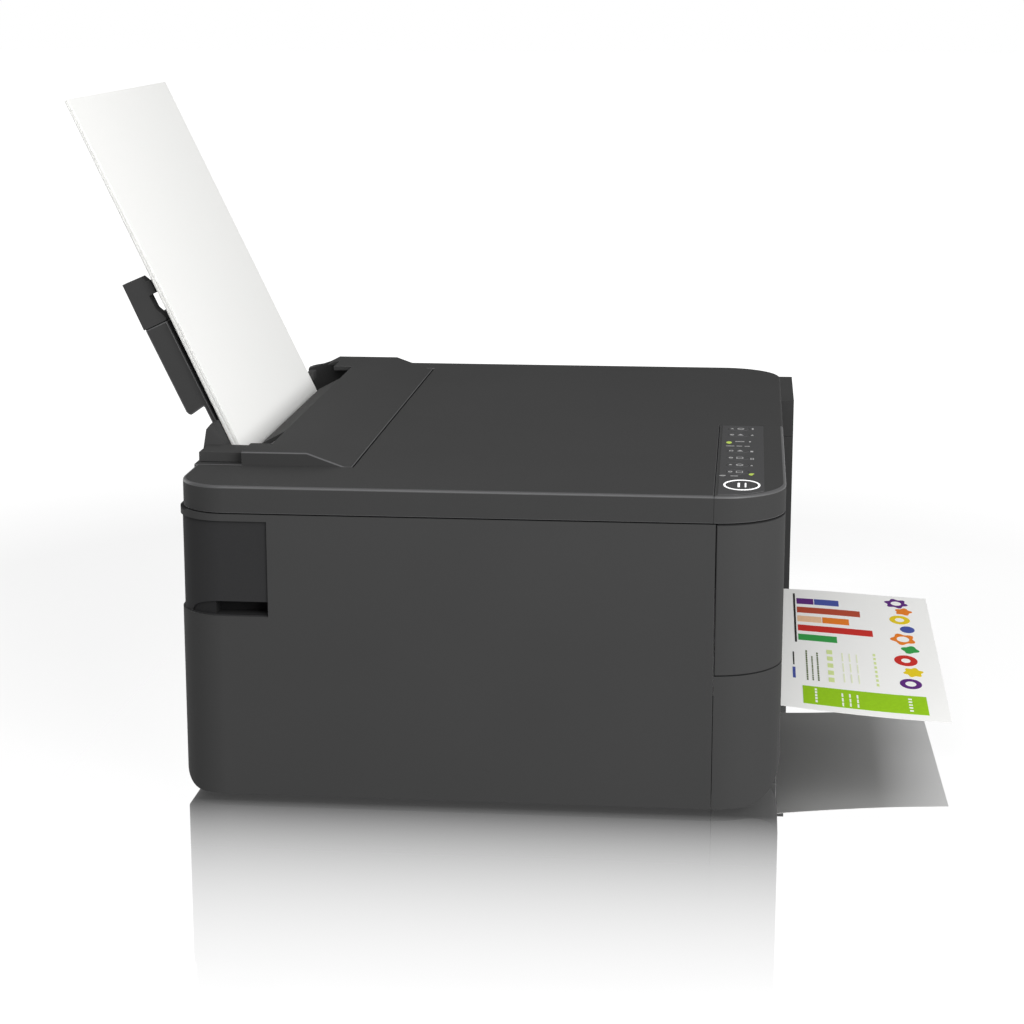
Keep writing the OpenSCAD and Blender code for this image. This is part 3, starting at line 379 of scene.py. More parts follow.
class Finish(Enum):
    """The finishes that the printer's pieces have."""

    HOUSING = MouldedPlastic("abs_charcoal_eroded", "#343434")
    COVER = MouldedPlastic("abs_charcoal_cover", "#313131")
    PANEL = MouldedPlastic("polycarbonate_panel_film", "#3b3b3c", roughness=0.7, bump=0.05)
    # Smoother edge finish, painted lighter as the highlight along rounded edges
    EDGE = MouldedPlastic("abs_charcoal_painted_highlight_edge", "#474748", roughness=0.45, bump=0.04, specular=0.5)
    SHELL = MouldedPlastic("abs_charcoal_shell", "#343434")
    # Near black painted on the shells' rounded edges, as the shade in their seams
    SEAM = MouldedPlastic("abs_charcoal_seam_painted_shade_edge", "#151516", roughness=0.85)
    # The grip recess, painted darker as its shade
    RECESS = MouldedPlastic("abs_charcoal_recess_painted_shade", "#242425", roughness=0.9)
    # The finger pocket, painted near black as the shade inside it
    POCKET = MouldedPlastic("abs_charcoal_pocket_painted_shade", "#131314", roughness=0.9)
    INNER = MouldedPlastic("abs_black_inner", "#222223", roughness=0.55)
    GLOSS = MouldedPlastic("polystyrene_black_gloss", "#151516", roughness=0.25, bump=0.03)
    NYLON = MouldedPlastic("nylon_natural", "#dcdcd4", roughness=0.45)
    TUBE = PlainSurface("elastomer_tube_clear", "#c9ccd2", 0.3, tone=0.02, transmission=0.4)
    RUBBER = PlainSurface("rubber_black", "#191919", 0.8)
    ROLLER = PlainSurface("rubber_roller_grey", "#3a3a3b", 0.75)
    FOAM = PlainSurface("polyester_film_white", "#f1f1ef", 0.6, bump=0.05, tone=0.01)
    ZINC = PlainSurface("steel_zinc_plated", "#a4a7ab", 0.38, metallic=1.0)
    STEEL = RolledSteel("steel_rolled_sheet")
    ROD = RolledSteel("steel_ground_rod", "#c6c8ca", 0.22)
    GLASS = PlainSurface("float_glass", "#dfeceb", 0.03, bump=0.0, tone=0.0, transmission=1.0)
    BOARD = PlainSurface("fibreglass_board_green", "#1f5a38", 0.4)
    LAMP = LitMark("acrylic_lamp_lit", "#9db33a", 0.4)
    # White print of the power ring and its key's bars, with a painted glow
    RING = LitMark("white_ring_print_painted_glow", "#f0f0f0", 0.7)
    # Printed grey signs with a painted glow
    SIGN = LitMark("screen_print_grey_painted_glow", "#a2a2a2", 0.1)
    # The film's rounded outline, painted lighter as its highlight
    FILM_EDGE = MouldedPlastic("polycarbonate_film_painted_highlight_edge", "#6a6a6b", roughness=0.6, bump=0.03)
    BLACK_INK = InkInTank("tank_with_black_ink", "#111113", 78.0)
    CYAN_INK = InkInTank("tank_with_cyan_ink", "#0f5f8c", 70.0)
    MAGENTA_INK = InkInTank("tank_with_magenta_ink", "#8c1f56", 74.0)
    YELLOW_INK = InkInTank("tank_with_yellow_ink", "#c9a516", 66.0)
    RED = PrintedInk("print_red", "#c7261d")
    ORANGE = PrintedInk("print_orange", "#e57d1c")
    YELLOW = PrintedInk("print_yellow", "#e3c815")
    GREEN = PrintedInk("print_green", "#2e9a45")
    PURPLE = PrintedInk("print_purple", "#5a1d78")
    BLUE = PrintedInk("print_blue", "#41509f")
    LIME = PrintedInk("print_lime", "#93c50b")
    PEACH = PrintedInk("print_peach", "#ecc29c")
    BRICK = PrintedInk("print_brick", "#b2452a")
    KEY = PrintedInk("print_black", "#1d1c1a")
    DARK_GREEN = PrintedInk("print_dark_green", "#51612e")
    PALE_GREEN = PrintedInk("print_pale_green", "#d3e39a")
    FAINT = PrintedInk("print_faint_lime", "#e6ecca")
    BARE = PrintedInk("print_left_white", "#f4f6ee")
    PAPER = CopyPaper("paper_copy_white")
    # The paper stack's sides, painted grey as their shade
    CUT_EDGE = CopyPaper("paper_cut_edge", "#d2d2d0", 0.8)

    def material(self) -> bpy.types.Material:
        """Give the finish's material, made once."""
        found = bpy.data.materials.get(self.value.name)
        return found or self.value.build()


# --------------------------------------------------------------- mesh makers


def finish_piece(obj: Object, body: str, finish: Finish, replaces: Sequence[str] = ()) -> Object:
    """Dress a piece, let it ride on its body and hide the nodes that it stands for.

    Args:
        obj: The piece, at the origin with its place in its mesh.
        body: The body that carries it.
        finish: Its finish.
        replaces: The plain nodes that it stands for.

    Returns:
        The piece.
    """
    coat(obj, finish)
    if obj.modifiers:
        applied(obj)
    obj.data.polygons.foreach_set("use_smooth", [True] * len(obj.data.polygons))
    obj.data.set_sharp_from_angle(angle=math.radians(SHARP_DEG))
    flat = obj.modifiers.new("flat_faces_stay_flat", "WEIGHTED_NORMAL")
    flat.keep_sharp = True
    flat.weight = 90
    applied(obj)
    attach(obj, body)
    if replaces:
        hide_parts(*replaces)
    log.info("%s: %d faces, on %s", obj.name, len(obj.data.polygons), body)
    return obj


def coat(obj: Object, finish: Finish) -> None:
    """Give a piece its finish and, on eroded plastic and film, that of its edges.

    Args:
        obj: The piece, left alone where it has materials.
        finish: The finish.
    """
    if obj.data.materials:
        return
    # The texture stops short of the edges, which are smoother; on eroded plastic and film they are painted lighter as
    # a highlight, on the shells near black as the seams' shade
    edge = {
        Finish.HOUSING: Finish.EDGE,
        Finish.COVER: Finish.EDGE,
        Finish.SHELL: Finish.SEAM,
        Finish.PANEL: Finish.FILM_EDGE,
    }.get(finish)
    for each in (finish, edge) if edge else (finish,):
        obj.data.materials.append(each.material())


def mesh_object(name: str, bm: BMesh) -> Object:
    """Turn a bmesh in metres into an object at the origin.

    Args:
        name: The piece's name.
        bm: The mesh, freed by this call.

    Returns:
        The object, linked to the scene.
    """
    data = bpy.data.meshes.new(name)
    bm.to_mesh(data)
    bm.free()
    obj = bpy.data.objects.new(name, data)
    bpy.context.scene.collection.objects.link(obj)
    return obj


def soften(obj: Object, width_mm: float, segments: int = 3, weight: bool = False) -> None:
    """Round the edges of a piece with a bevel that keeps the flat faces flat.

    Args:
        obj: The piece.
        width_mm: Width of the rounding.
        segments: Faces across the rounding.
        weight: Round by edge weight instead of by angle.
    """
    mod = obj.modifiers.new("soft_edges", "BEVEL")
    mod.width = width_mm * MM
    mod.segments = segments
    mod.limit_method = "WEIGHT" if weight else "ANGLE"
    mod.angle_limit = math.radians(ROUNDED_DEG)
    mod.miter_outer = "MITER_ARC"
    mats = obj.data.materials
    mod.material = 1 if len(mats) > 1 and mats[1].name.endswith("edge") else -1


def cad_copy(
    node: str, name: str, finish: Finish, width_mm: float = 0.35, segments: int = 2, big: Optional[EdgeRule] = None
) -> Object:
    """Copy a plain node's mesh, join its triangles and soften its edges.

    Args:
        node: The node.
        name: The new piece's name.
        finish: Its finish.
        width_mm: Width of the rounding, or 0 for none.
        segments: Faces across the rounding.
        big: Gives an edge's own rounding in millimetres, or 0 for the plain one.

    Returns:
        The new object.
    """
    bm = bmesh.new()
    bm.from_mesh(FRAME["nodes"][node].data)
    bmesh.ops.remove_doubles(bm, verts=bm.verts, dist=1e-6)
    bmesh.ops.dissolve_limit(bm, angle_limit=math.radians(0.5), verts=bm.verts, edges=bm.edges)
    widest = width_mm
    if big:
        layer = bm.edges.layers.float.new("bevel_weight_edge")
        widths = {}
        for e in bm.edges:
            if len(e.link_faces) == 2 and e.calc_face_angle(0.0) > math.radians(ROUNDED_DEG):
                a, b = (v.co / MM - SHIFT for v in e.verts)
                widths[e] = big(a, b) or width_mm
        widest = max(widths.values())
        for e, width in widths.items():
            e[layer] = width / widest
    obj = mesh_object(name, bm)
    coat(obj, finish)
    if width_mm > 0:
        soften(obj, widest, segments, weight=big is not None)
    return obj


def dress_node(
    node: str, body: str, finish: Finish, width_mm: float = 0.35, segments: int = 2, big: Optional[EdgeRule] = None
) -> Object:
    """Stand an edge-softened copy in a plain node's place.

    Args:
        node: The node.
        body: The body that carries it.
        finish: Its finish.
        width_mm: Width of the rounding.
        segments: Faces across the rounding.
        big: Gives an edge's own rounding in millimetres, or 0 for the plain one.

    Returns:
        The new piece.
    """
    return finish_piece(cad_copy(node, node + "_dressed", finish, width_mm, segments, big), body, finish, [node])


def dress_all(rows: Sequence[tuple[str, str, Finish, float]]) -> None:
    """Dress nodes, each with its body, its finish and the width of its rounding."""
    for row in rows:
        dress_node(*row)


@dataclass(frozen=True)
class RowOfCopies:
    """Geometry Nodes that repeat a unit along a straight row.

    Each copy may be turned a little more than the last, and moved by a seeded
    random amount.
    """

    name: str
    start: Point
    step: Point
    count: int
    turn_deg: Point = (0.0, 0.0, 0.0)
    stray_mm: Point = (0.0, 0.0, 0.0)
    seed: int = 7

    def tree(self) -> tuple[Tree, dict[str, str]]:
        """Build the node tree.

        Returns:
            The tree, and its inputs' identifiers by name.
        """
        tree = bpy.data.node_groups.new(self.name, "GeometryNodeTree")
        face = tree.interface
        face.new_socket("Geometry", in_out="OUTPUT", socket_type="NodeSocketGeometry")
        face.new_socket("Unit", in_out="INPUT", socket_type="NodeSocketGeometry")
        idents = {}
        for name, kind in (
            ("Start", "Vector"), ("Step", "Vector"), ("Count", "Int"), ("Turn", "Vector"),
            ("Stray", "Vector"), ("Seed", "Int"), ("Finish", "Material"),
        ):
            idents[name] = face.new_socket(name, in_out="INPUT", socket_type="NodeSocket" + kind).identifier
        given = tree.nodes.new("NodeGroupInput").outputs
        line = add(
            tree,
            "GeometryNodeMeshLine",
            {"mode": "OFFSET"},
            Count=given["Count"],
            Start_Location=given["Start"],
            Offset=given["Step"],
        )
        least = add(tree, "ShaderNodeVectorMath", {"operation": "SCALE", 0: given["Stray"]}, Scale=-1.0)
        stray = add(
            tree,
            "FunctionNodeRandomValue",
            {"data_type": "FLOAT_VECTOR", 0: least.outputs[0], 1: given["Stray"]},
            Seed=given["Seed"],
        )
        moved = add(tree, "GeometryNodeSetPosition", Geometry=line.outputs[0], Offset=stray.outputs[0])
        index = add(tree, "GeometryNodeInputIndex")
        turn = add(tree, "ShaderNodeVectorMath", {"operation": "SCALE", 0: given["Turn"]}, Scale=index.outputs[0])
        copies = add(
            tree,
            "GeometryNodeInstanceOnPoints",
            Points=moved.outputs[0],
            Instance=given["Unit"],
            Rotation=turn.outputs[0],
        )
        real = add(tree, "GeometryNodeRealizeInstances", Geometry=copies.outputs[0])
        dressed = add(tree, "GeometryNodeSetMaterial", Geometry=real.outputs[0], Material=given["Finish"])
        add(tree, "NodeGroupOutput", Geometry=dressed.outputs[0])
        return tree, idents

    def apply(self, obj: Object, finish: Finish) -> Object:
        """Repeat a unit mesh along the row and make the result a plain mesh.

        Args:
            obj: Holds the unit, around the origin.
            finish: The finish of the copies.

        Returns:
            The same object with all copies in its mesh.
        """
        tree, idents = self.tree()
        mod = obj.modifiers.new(self.name, "NODES")
        mod.node_group = tree
        values = {
            "Start": to_frame(self.start),
            "Step": Vector(self.step) * MM,
            "Count": self.count,
            "Turn": [math.radians(a) for a in self.turn_deg],
            "Stray": Vector(self.stray_mm) * MM,
            "Seed": self.seed,
            "Finish": finish.material(),
        }
        for name, value in values.items():
            mod[idents[name]] = value
        return applied(obj)


def unit_prism(name: str, points: Sequence[Point], sweep: Point) -> Object:
    """Make the unit of a row around the origin: a flat outline swept straight.

    Args:
        name: The piece's name.
        points: The outline in millimetres.
        sweep: The sweep in millimetres.

    Returns:
        The object.
    """
    bm = bmesh.new()
    prism(bm, points, sweep)
    bmesh.ops.translate(bm, verts=bm.verts, vec=-to_frame((0, 0, 0)))
    point_outwards(bm)
    return mesh_object(name, bm)


# ------------------------------------------------------------- main measures


@dataclass(frozen=True)
class FeedPlane:
    """The leaning plane of the paper stack's front sheet."""

    foot_y: float = 130.7
    foot_z: float = 156.7
    lean_deg: float = 25.5

    def at(self, x: float, behind: float, up: float) -> Point:
        """Give a place on or behind the front sheet.

        Args:
            x: Place across the sheet.
            behind: Distance behind the front sheet.
            up: Distance up along it.

        Returns:
            The place in the printer's axes.
        """
        a = math.radians(self.lean_deg)
        return (
            x,
            self.foot_y + behind * math.cos(a) + up * math.sin(a),
            self.foot_z - behind * math.sin(a) + up * math.cos(a),
        )

    def axes(self) -> tuple[Vector, Vector, Vector]:
        """Give the unit directions across, behind and up along the front sheet."""
        a = math.radians(self.lean_deg)
        return Vector((1, 0, 0)), Vector((0, math.cos(a), -math.sin(a))), Vector((0, math.sin(a), math.cos(a)))

    def behind_and_up(self, p: Vector) -> Flat:
        """Tell how far behind the front sheet, and up along it, a place lies."""
        _, behind, up = self.axes()
        from_foot = p - Vector((0, self.foot_y, self.foot_z))
        return from_foot.dot(behind), from_foot.dot(up)


@dataclass(frozen=True)
class Body:
    """Main sizes of the printer body."""

    half_w: float = 195.0
    half_d: float = 150.0
    cover_low: float = 147.1
    cover_top: float = 160.6
    front_r: float = 35.0
    rear_r: float = 25.0


BODY = Body()
FEED = FeedPlane()


# -------------------------------------------------------------------- studio


@dataclass(frozen=True)
class Lamp:
    """A square soft lamp."""

    name: str
    at: Point
    aim: Point
    size_mm: float
    watts: float

    def build(self) -> None:
        """Hang the lamp and turn it to the place that it faces."""
        data = bpy.data.lights.new(self.name, "AREA")
        data.size = self.size_mm * MM
        data.energy = self.watts
        obj = bpy.data.objects.new(self.name, data)
        obj.location = to_frame(self.at)
        obj.rotation_euler = (to_frame(self.aim) - to_frame(self.at)).to_track_quat("-Z", "Y").to_euler()
        bpy.context.scene.collection.objects.link(obj)


@dataclass
class Studio:
    """Floor, lamps, backdrop light and camera."""

    eye: Point = (-1320.4, -129.8, 402.7)
    yaw_deg: float = 5.66
    pitch_deg: float = 12.56
    lens_mm: float = 84.44
    room_light: float = 0.33
    # Share of the white backdrop that the plastic's sheen sees
    sheen: float = 0.1
    floor_size: float = 12.0
    # The floor as light bounces off it, and as it is seen
    floor_colours: tuple[str, str] = ("#9c9c9c", "#9a9a9a")
    # The floor's glow near the printer and far from it, and how far these are in metres
    glow: Flat = (0.72, 1.0)
    glow_reach: Flat = (0.45, 1.0)
    mirror: float = 0.96
    mirror_reach_mm: float = 100.0
    # The polish is full inside this rectangle: left, front, right, rear
    polished: tuple[float, float, float, float] = (-195.0, -200.0, 291.0, 150.0)
    lamps: tuple[Lamp, ...] = (
        Lamp("key_lamp", (-1300, -1000, 700), (0, 0, 60), 1000, 24.0),
        Lamp("front_lamp", (-300, -1600, 450), (0, 0, 60), 900, 5.0),
        Lamp("top_lamp", (-850, 200, 1050), (0, 0, 100), 900, 7.0),
        Lamp("back_lamp", (900, 1500, 500), (0, 0, 100), 1000, 5.0),
    )

    def build(self) -> None:
        """Set up the whole studio."""
        self.camera()
        self.floor()
        self.world()
        for lamp in self.lamps:
            lamp.build()
        bpy.context.scene.view_settings.view_transform = "Standard"

    def camera(self) -> None:
        """Place the camera."""
        data = bpy.data.cameras.new("camera")
        data.lens = self.lens_mm
        data.sensor_width = 36.0
        data.clip_end = 50.0
        obj = bpy.data.objects.new("camera", data)
        obj.location = to_frame(self.eye)
        yaw, pitch = math.radians(self.yaw_deg), math.radians(self.pitch_deg)
        look = Vector((math.cos(pitch) * math.cos(yaw), math.cos(pitch) * math.sin(yaw), -math.sin(pitch)))
        obj.rotation_euler = look.to_track_quat("-Z", "Y").to_euler()
        bpy.context.scene.collection.objects.link(obj)
        bpy.context.scene.camera = obj

    def floor(self) -> None:
        """Lay the polished white floor, which keeps the printer's shadow and its mirror image.

        The polish fades out around the printer, over mirror_reach_mm.
        """
        bm = bmesh.new()
        bmesh.ops.create_grid(bm, x_segments=1, y_segments=1, size=self.floor_size)
        obj = mesh_object("studio_floor", bm)
        mat, tree, out = new_material("studio_floor_white")
        place = add(tree, "ShaderNodeTexCoord").outputs["Object"]
        path = add(tree, "ShaderNodeLightPath").outputs
        matt, soft = (add(tree, "ShaderNodeBsdfDiffuse", {"Color": linear(c)}).outputs[0] for c in self.floor_colours)
        reach = {1: self.glow_reach[0], 2: self.glow_reach[1], 3: self.glow[0], 4: self.glow[1]}
        radius = maths(tree, "LENGTH", place, kind="Vector")
        strength = add(tree, "ShaderNodeMapRange", reach, Value=radius).outputs["Result"]
        glow = add(tree, "ShaderNodeEmission", {"Color": WHITE}, Strength=strength)
        lit = add(tree, "ShaderNodeAddShader", {0: soft, 1: glow.outputs[0]})
        seen = maths(tree, "MAXIMUM", path["Is Camera Ray"], path["Is Glossy Ray"])
        surface = add(tree, "ShaderNodeMixShader", {0: seen, 1: matt, 2: lit.outputs[0]})
        polish = add(tree, "ShaderNodeBsdfGlossy", {"Color": WHITE, "Roughness": 0.0})
        # Distance from the polished rectangle
        x0, y0, x1, y1 = self.polished
        nearest = maths(tree, "MINIMUM", place, to_frame((x1, y1, 0)), kind="Vector")
        nearest = maths(tree, "MAXIMUM", nearest, to_frame((x0, y0, 0)), kind="Vector")
        away = maths(tree, "DISTANCE", place, nearest, kind="Vector")
        fall = maths(tree, "EXPONENT", maths(tree, "MULTIPLY", away, -1 / (self.mirror_reach_mm * MM)))
        share = maths(tree, "MULTIPLY", maths(tree, "MULTIPLY", fall, self.mirror), path["Is Camera Ray"])
        final = add(tree, "ShaderNodeMixShader", {0: share, 1: surface.outputs[0], 2: polish.outputs[0]})
        tree.links.new(final.outputs[0], out.inputs["Surface"])
        obj.data.materials.append(mat)

    def world(self) -> None:
        """Light the room evenly, and show it white to the camera, in glass and in the floor."""
        world = bpy.data.worlds.new("studio")
        bpy.context.scene.world = world
        world.use_nodes = True
        tree = world.node_tree
        tree.nodes.clear()
        path = add(tree, "ShaderNodeLightPath").outputs
        sharp = maths(tree, "MAXIMUM", path["Is Singular Ray"], path["Is Transmission Ray"])
        seen = maths(tree, "MAXIMUM", path["Is Camera Ray"], sharp)
        shown = maths(tree, "MAXIMUM", seen, maths(tree, "MULTIPLY", path["Is Glossy Ray"], self.sheen))
        strength = spread(tree, shown, self.room_light, 1.0)
        back = add(tree, "ShaderNodeBackground", {"Color": WHITE}, Strength=strength)
        add(tree, "ShaderNodeOutputWorld", Surface=back.outputs[0])


# ------------------------------------------------------- shared construction


def arc(cx: float, cy: float, r: float, a0: float, a1: float, steps: int = 14) -> list[Flat]:
    """List points of an arc.

    Args:
        cx: Centre X.
        cy: Centre Y.
        r: Radius.
        a0: Start angle in degrees.
        a1: End angle in degrees.
        steps: Number of steps.

    Returns:
        The points.
    """
    out = []
    for i in range(steps + 1):
        a = math.radians(a0 + (a1 - a0) * i / steps)
        out.append((cx + r * math.cos(a), cy + r * math.sin(a)))
    return out


def ellipse(at: Flat, half: Flat, steps: int, turn_deg: float = 0.0) -> list[Flat]:
    """List points round an ellipse, counter-clockwise.

    Args:
        at: Its middle.
        half: Its half sizes.
        steps: Number of points.
        turn_deg: Where the first point lies.

    Returns:
        The points.
    """
    angles = [math.radians(turn_deg) + math.tau * i / steps for i in range(steps)]
    return [(at[0] + half[0] * math.cos(a), at[1] + half[1] * math.sin(a)) for a in angles]


def hoop(bm: BMesh, outer: Sequence[Point], inner: Sequence[Point], height: float) -> None:
    """Add a closed ring between two outlines with as many points.

    Args:
        bm: The mesh.
        outer: The outer outline.
        inner: The inner outline.
        height: Its height above them.
    """
    low_out, high_out, low_in, high_in = (
        [bm.verts.new(to_frame((x, y, z + lift))) for x, y, z in line]
        for line in (outer, inner)
        for lift in (0, height)
    )
    for a, b in ((high_out, high_in), (low_in, low_out), (low_out, high_out), (high_in, low_in)):
        bridge(bm, a, b)


def bridge(bm: BMesh, a: Sequence[Vert], b: Sequence[Vert]) -> None:
    """Add the faces between two closed loops with as many vertices."""
    for i in range(len(a)):
        j = (i + 1) % len(a)
        bm.faces.new((a[i], a[j], b[j], b[i]))


def patch(bm: BMesh, rows: Sequence[Sequence[Vert]]) -> None:
    """Add the faces between rows of vertices."""
    for a, b in zip(rows, rows[1:]):
        for i in range(len(a) - 1):
            bm.faces.new((a[i], a[i + 1], b[i + 1], b[i]))


def prism(bm: BMesh, points: Sequence[Point], sweep: Point) -> None:
    """Add a closed solid: a flat outline swept along a straight line.

    Args:
        bm: The mesh.
        points: The outline's corners in millimetres.
        sweep: The sweep in millimetres.
    """
    near = [bm.verts.new(to_frame(p)) for p in points]
    far = [bm.verts.new(to_frame(Vector(p) + Vector(sweep))) for p in points]
    bm.faces.new(near)
    bm.faces.new(list(reversed(far)))
    bridge(bm, far, near)


def box_mm(bm: BMesh, a: Point, b: Point) -> None:
    """Add a box between two corners in millimetres."""
    corners = [(x, y, a[2]) for x, y in ((a[0], a[1]), (b[0], a[1]), (b[0], b[1]), (a[0], b[1]))]
    prism(bm, corners, (0, 0, b[2] - a[2]))


def point_outwards(bm: BMesh) -> None:
    """Turn all faces of closed shells outwards."""
    bmesh.ops.recalc_face_normals(bm, faces=bm.faces)


def applied(obj: Object) -> Object:
    """Replace a piece's mesh by its evaluated mesh and drop its modifiers."""
    graph = bpy.context.evaluated_depsgraph_get()
    graph.update()
    mesh = bpy.data.meshes.new_from_object(obj.evaluated_get(graph))
    obj.modifiers.clear()
    obj.data = mesh
    return obj


def cut(obj: Object, cutters: Sequence[tuple[Point, Point]]) -> Object:
    """Cut boxes out of a piece.

    Args:
        obj: The piece.
        cutters: Pairs of corners in millimetres.

    Returns:
        The piece with its new mesh.
    """
    bm = bmesh.new()
    for a, b in cutters:
        box_mm(bm, a, b)
    point_outwards(bm)
    return cut_with(obj, mesh_object("cutter", bm))


def cut_with(obj: Object, tool: Object) -> Object:
    """Cut one mesh out of another and drop the cutting mesh.

    Args:
        obj: The piece.
        tool: The cutting mesh.

    Returns:
        The piece with its new mesh.
    """
    mod = obj.modifiers.new("cut", "BOOLEAN")
    mod.operation = "DIFFERENCE"
    mod.solver = "EXACT"
    mod.object = tool
    applied(obj)
    bpy.data.objects.remove(tool)
    return obj


# ------------------------------------------------------------- sub-assemblies


@dataclass
class Cabinet:
    """The lower body: base, feet, screws and the moulded shells."""

    grip_front: float = 102.4
    grip_low: float = 95.0
    grip_high: float = 143.0
    pocket_low: float = 95.6
    pocket_high: float = 102.4
    # How deep inside the body's outline the recess and the pocket lie; faces there are painted darker as their shade
    recess_depth: Flat = (0.7, 1.4)
    pocket_depth: Flat = (1.1, 14.0)
    # The pocket's shallow end: its depth, and how far along it keeps its full height
    scoop_depth: float = 1.75
    scoop_full: float = 22.0

    def build(self) -> None:
        """Dress every shell of the lower body."""
        self.housing()
        dress_all((
            ("front_upper_shell", "printer", Finish.SHELL, 0.5),
            ("front_lower_shell", "printer", Finish.SHELL, 0.5),
            ("base_tray", "printer", Finish.INNER, 0.3),
            ("rubber_feet", "printer", Finish.RUBBER, 0.5),
            ("housing_screws", "printer", Finish.ZINC, 0.3),
            ("hinge_pins", "printer", Finish.ROD, 0.2),
            ("power_inlet", "printer", Finish.GLOSS, 0.3),
            ("usb_port", "printer", Finish.ZINC, 0.2),
        ))

    def depth_in(self, p: Vector) -> float:
        """Give how deep a place lies inside the body's outline, seen from above."""
        qx = abs(p.x) - (BODY.half_w - BODY.rear_r)
        qy = abs(p.y) - (BODY.half_d - BODY.rear_r)
        outside = math.hypot(max(qx, 0.0), max(qy, 0.0))
        return BODY.rear_r - outside - min(max(qx, qy), 0.0)

    def housing(self) -> None:
        """Build the housing with its grip recesses and finger pockets, both painted darker as their shade."""
        obj = cad_copy("outer_housing", "outer_housing_dressed", Finish.SHELL, 0.0)
        for side in (-1, 1):
            self.scoop(obj, side)
        # The recess and the pocket are painted darker, as their shade
        for finish in (Finish.RECESS, Finish.POCKET):
            obj.data.materials.append(finish.material())
        slack = 0.2
        for face in obj.data.polygons:
            p = face.center / MM - SHIFT
            if p.y < self.grip_front - 0.1 or not self.grip_low - slack < p.z < self.grip_high + slack:
                continue
            depth = self.depth_in(p)
            in_pocket = self.pocket_low - slack < p.z < self.pocket_high + slack
            if in_pocket and self.pocket_depth[0] < depth < self.pocket_depth[1]:
                face.material_index = 3
            elif self.recess_depth[0] < depth < self.recess_depth[1]:
                face.material_index = 2
        # The rounded edges take the near-black painted seam shade
        soften(obj, 0.5, 2)
        finish_piece(obj, "printer", Finish.SHELL, ["outer_housing"])

    def scoop(self, obj: Object, side: int) -> None:
        """Cut the finger pocket's shallow rear end, which runs out round the corner.

        Args:
            obj: The housing.
            side: -1 for the left side, 1 for the right side.
        """
        w, d, r = BODY.half_w, BODY.half_d, BODY.rear_r
        path = [(w, self.grip_front)] + arc(w - r, d - r, r, 0, 45, 9)
        run = [0.0]
        for (x0, y0), (x1, y1) in zip(path, path[1:]):
            run.append(run[-1] + math.hypot(x1 - x0, y1 - y0))
        bm = bmesh.new()
        rings = []
        for (x, y), s in zip(path, run):
            k = min(max((s - self.scoop_full) / (run[-1] - self.scoop_full), 0.0), 1.0)
            high = self.pocket_low + (self.pocket_high - self.pocket_low) * math.sqrt(max(1 - k * k, 0.004))
            ny = min(max((y - (d - r)) / r, 0.0), 1.0)
            nx = math.sqrt(1 - ny * ny)
            out, deep = 2.0, -self.scoop_depth
            section = ((out, self.pocket_low), (out, high), (deep, high), (deep, self.pocket_low))
            rings.append([bm.verts.new(to_frame((side * (x + nx * off), y + ny * off, z))) for off, z in section])
        for a, b in zip(rings, rings[1:]):
            bridge(bm, a, b)
        bm.faces.new(rings[0])
        bm.faces.new(list(reversed(rings[-1])))
        point_outwards(bm)
        cut_with(obj, mesh_object("scoop", bm))


@dataclass
class DocumentCover:
    """The document cover with its white mat, and the scanner under it."""

    panel_x: float = -6.98
    panel_y: float = -115.2
    rear_y: float = 67.6
    rear_wall: float = 148.4
    hump_x: Flat = (-143.5, 173.5)
    round_mm: float = 1.4
    # Room for the two hinge arms and for the mat
    cuts: tuple[tuple[Point, Point], ...] = (
        ((-168.4, 141.9, 140), (-153.6, 152, 154.5)),
        ((173.0, 141.9, 140), (180.5, 152, 154.5)),
        ((-150, -110, 140), (150, 60, 149.0)),
    )

    def outline(self) -> list[Flat]:
        """List the cover's outline seen from above, counter-clockwise."""
        w, d, rf, rr, back = BODY.half_w, BODY.half_d, BODY.front_r, BODY.rear_r, self.rear_wall
        stop = math.degrees(math.acos((self.hump_x[1] - (w - rr)) / rr))
        out = [(self.panel_x, -d)]
        out += arc(w - rf, -d + rf, rf, -90, 0, 18)
        out += arc(w - rr, back - rr, rr, 0, stop, 14)
        out += [(self.hump_x[1], self.rear_y), (self.hump_x[0], self.rear_y), (self.hump_x[0], back)]
        out += arc(-w + rr, back - rr, rr, 90, 180, 16)
        out += [(-w, self.panel_y), (self.panel_x, self.panel_y)]
        return out

    def build(self) -> None:
        """Build the cover, the mat and the scanner."""
        obj = slab_piece("document_cover_shell", self.outline(), self.round_mm, self.is_outer, Finish.COVER)
        # The front edge keeps the cover's matt finish, without the painted highlight
        for face in obj.data.polygons:
            p = face.center / MM - SHIFT
            if face.material_index == 1 and p.x > -100 and p.y < -100:
                face.material_index = 0
        cut(obj, self.cuts)
        finish_piece(obj, "cover", Finish.COVER, ["document_cover"])
        dress_all((
            ("document_mat", "cover", Finish.FOAM, 0.3),
            ("scanner_frame", "scanner", Finish.INNER, 0.3),
            ("scan_glass", "scanner", Finish.GLASS, 0.2),
            ("scan_bar", "scan_bar", Finish.GLOSS, 0.4),
        ))

    def is_outer(self, p: Vector, q: Vector) -> bool:
        """Tell whether an outline edge lies on the printer's outside.

        Args:
            p: Edge's start in millimetres.
            q: Edge's end in millimetres.

        Returns:
            True for the outside, False along the panel and the hump.
        """
        w, d = BODY.half_w - 0.1, self.rear_wall - 0.1
        m = (p + q) / 2
        corner = abs(m.x) > BODY.half_w - BODY.front_r and abs(m.y) > BODY.half_d - BODY.front_r
        on_cut = abs(m.x - self.hump_x[0]) < 0.1 or abs(m.x - self.hump_x[1]) < 0.1
        return (abs(m.x) > w or abs(m.y) > d or corner) and not on_cut


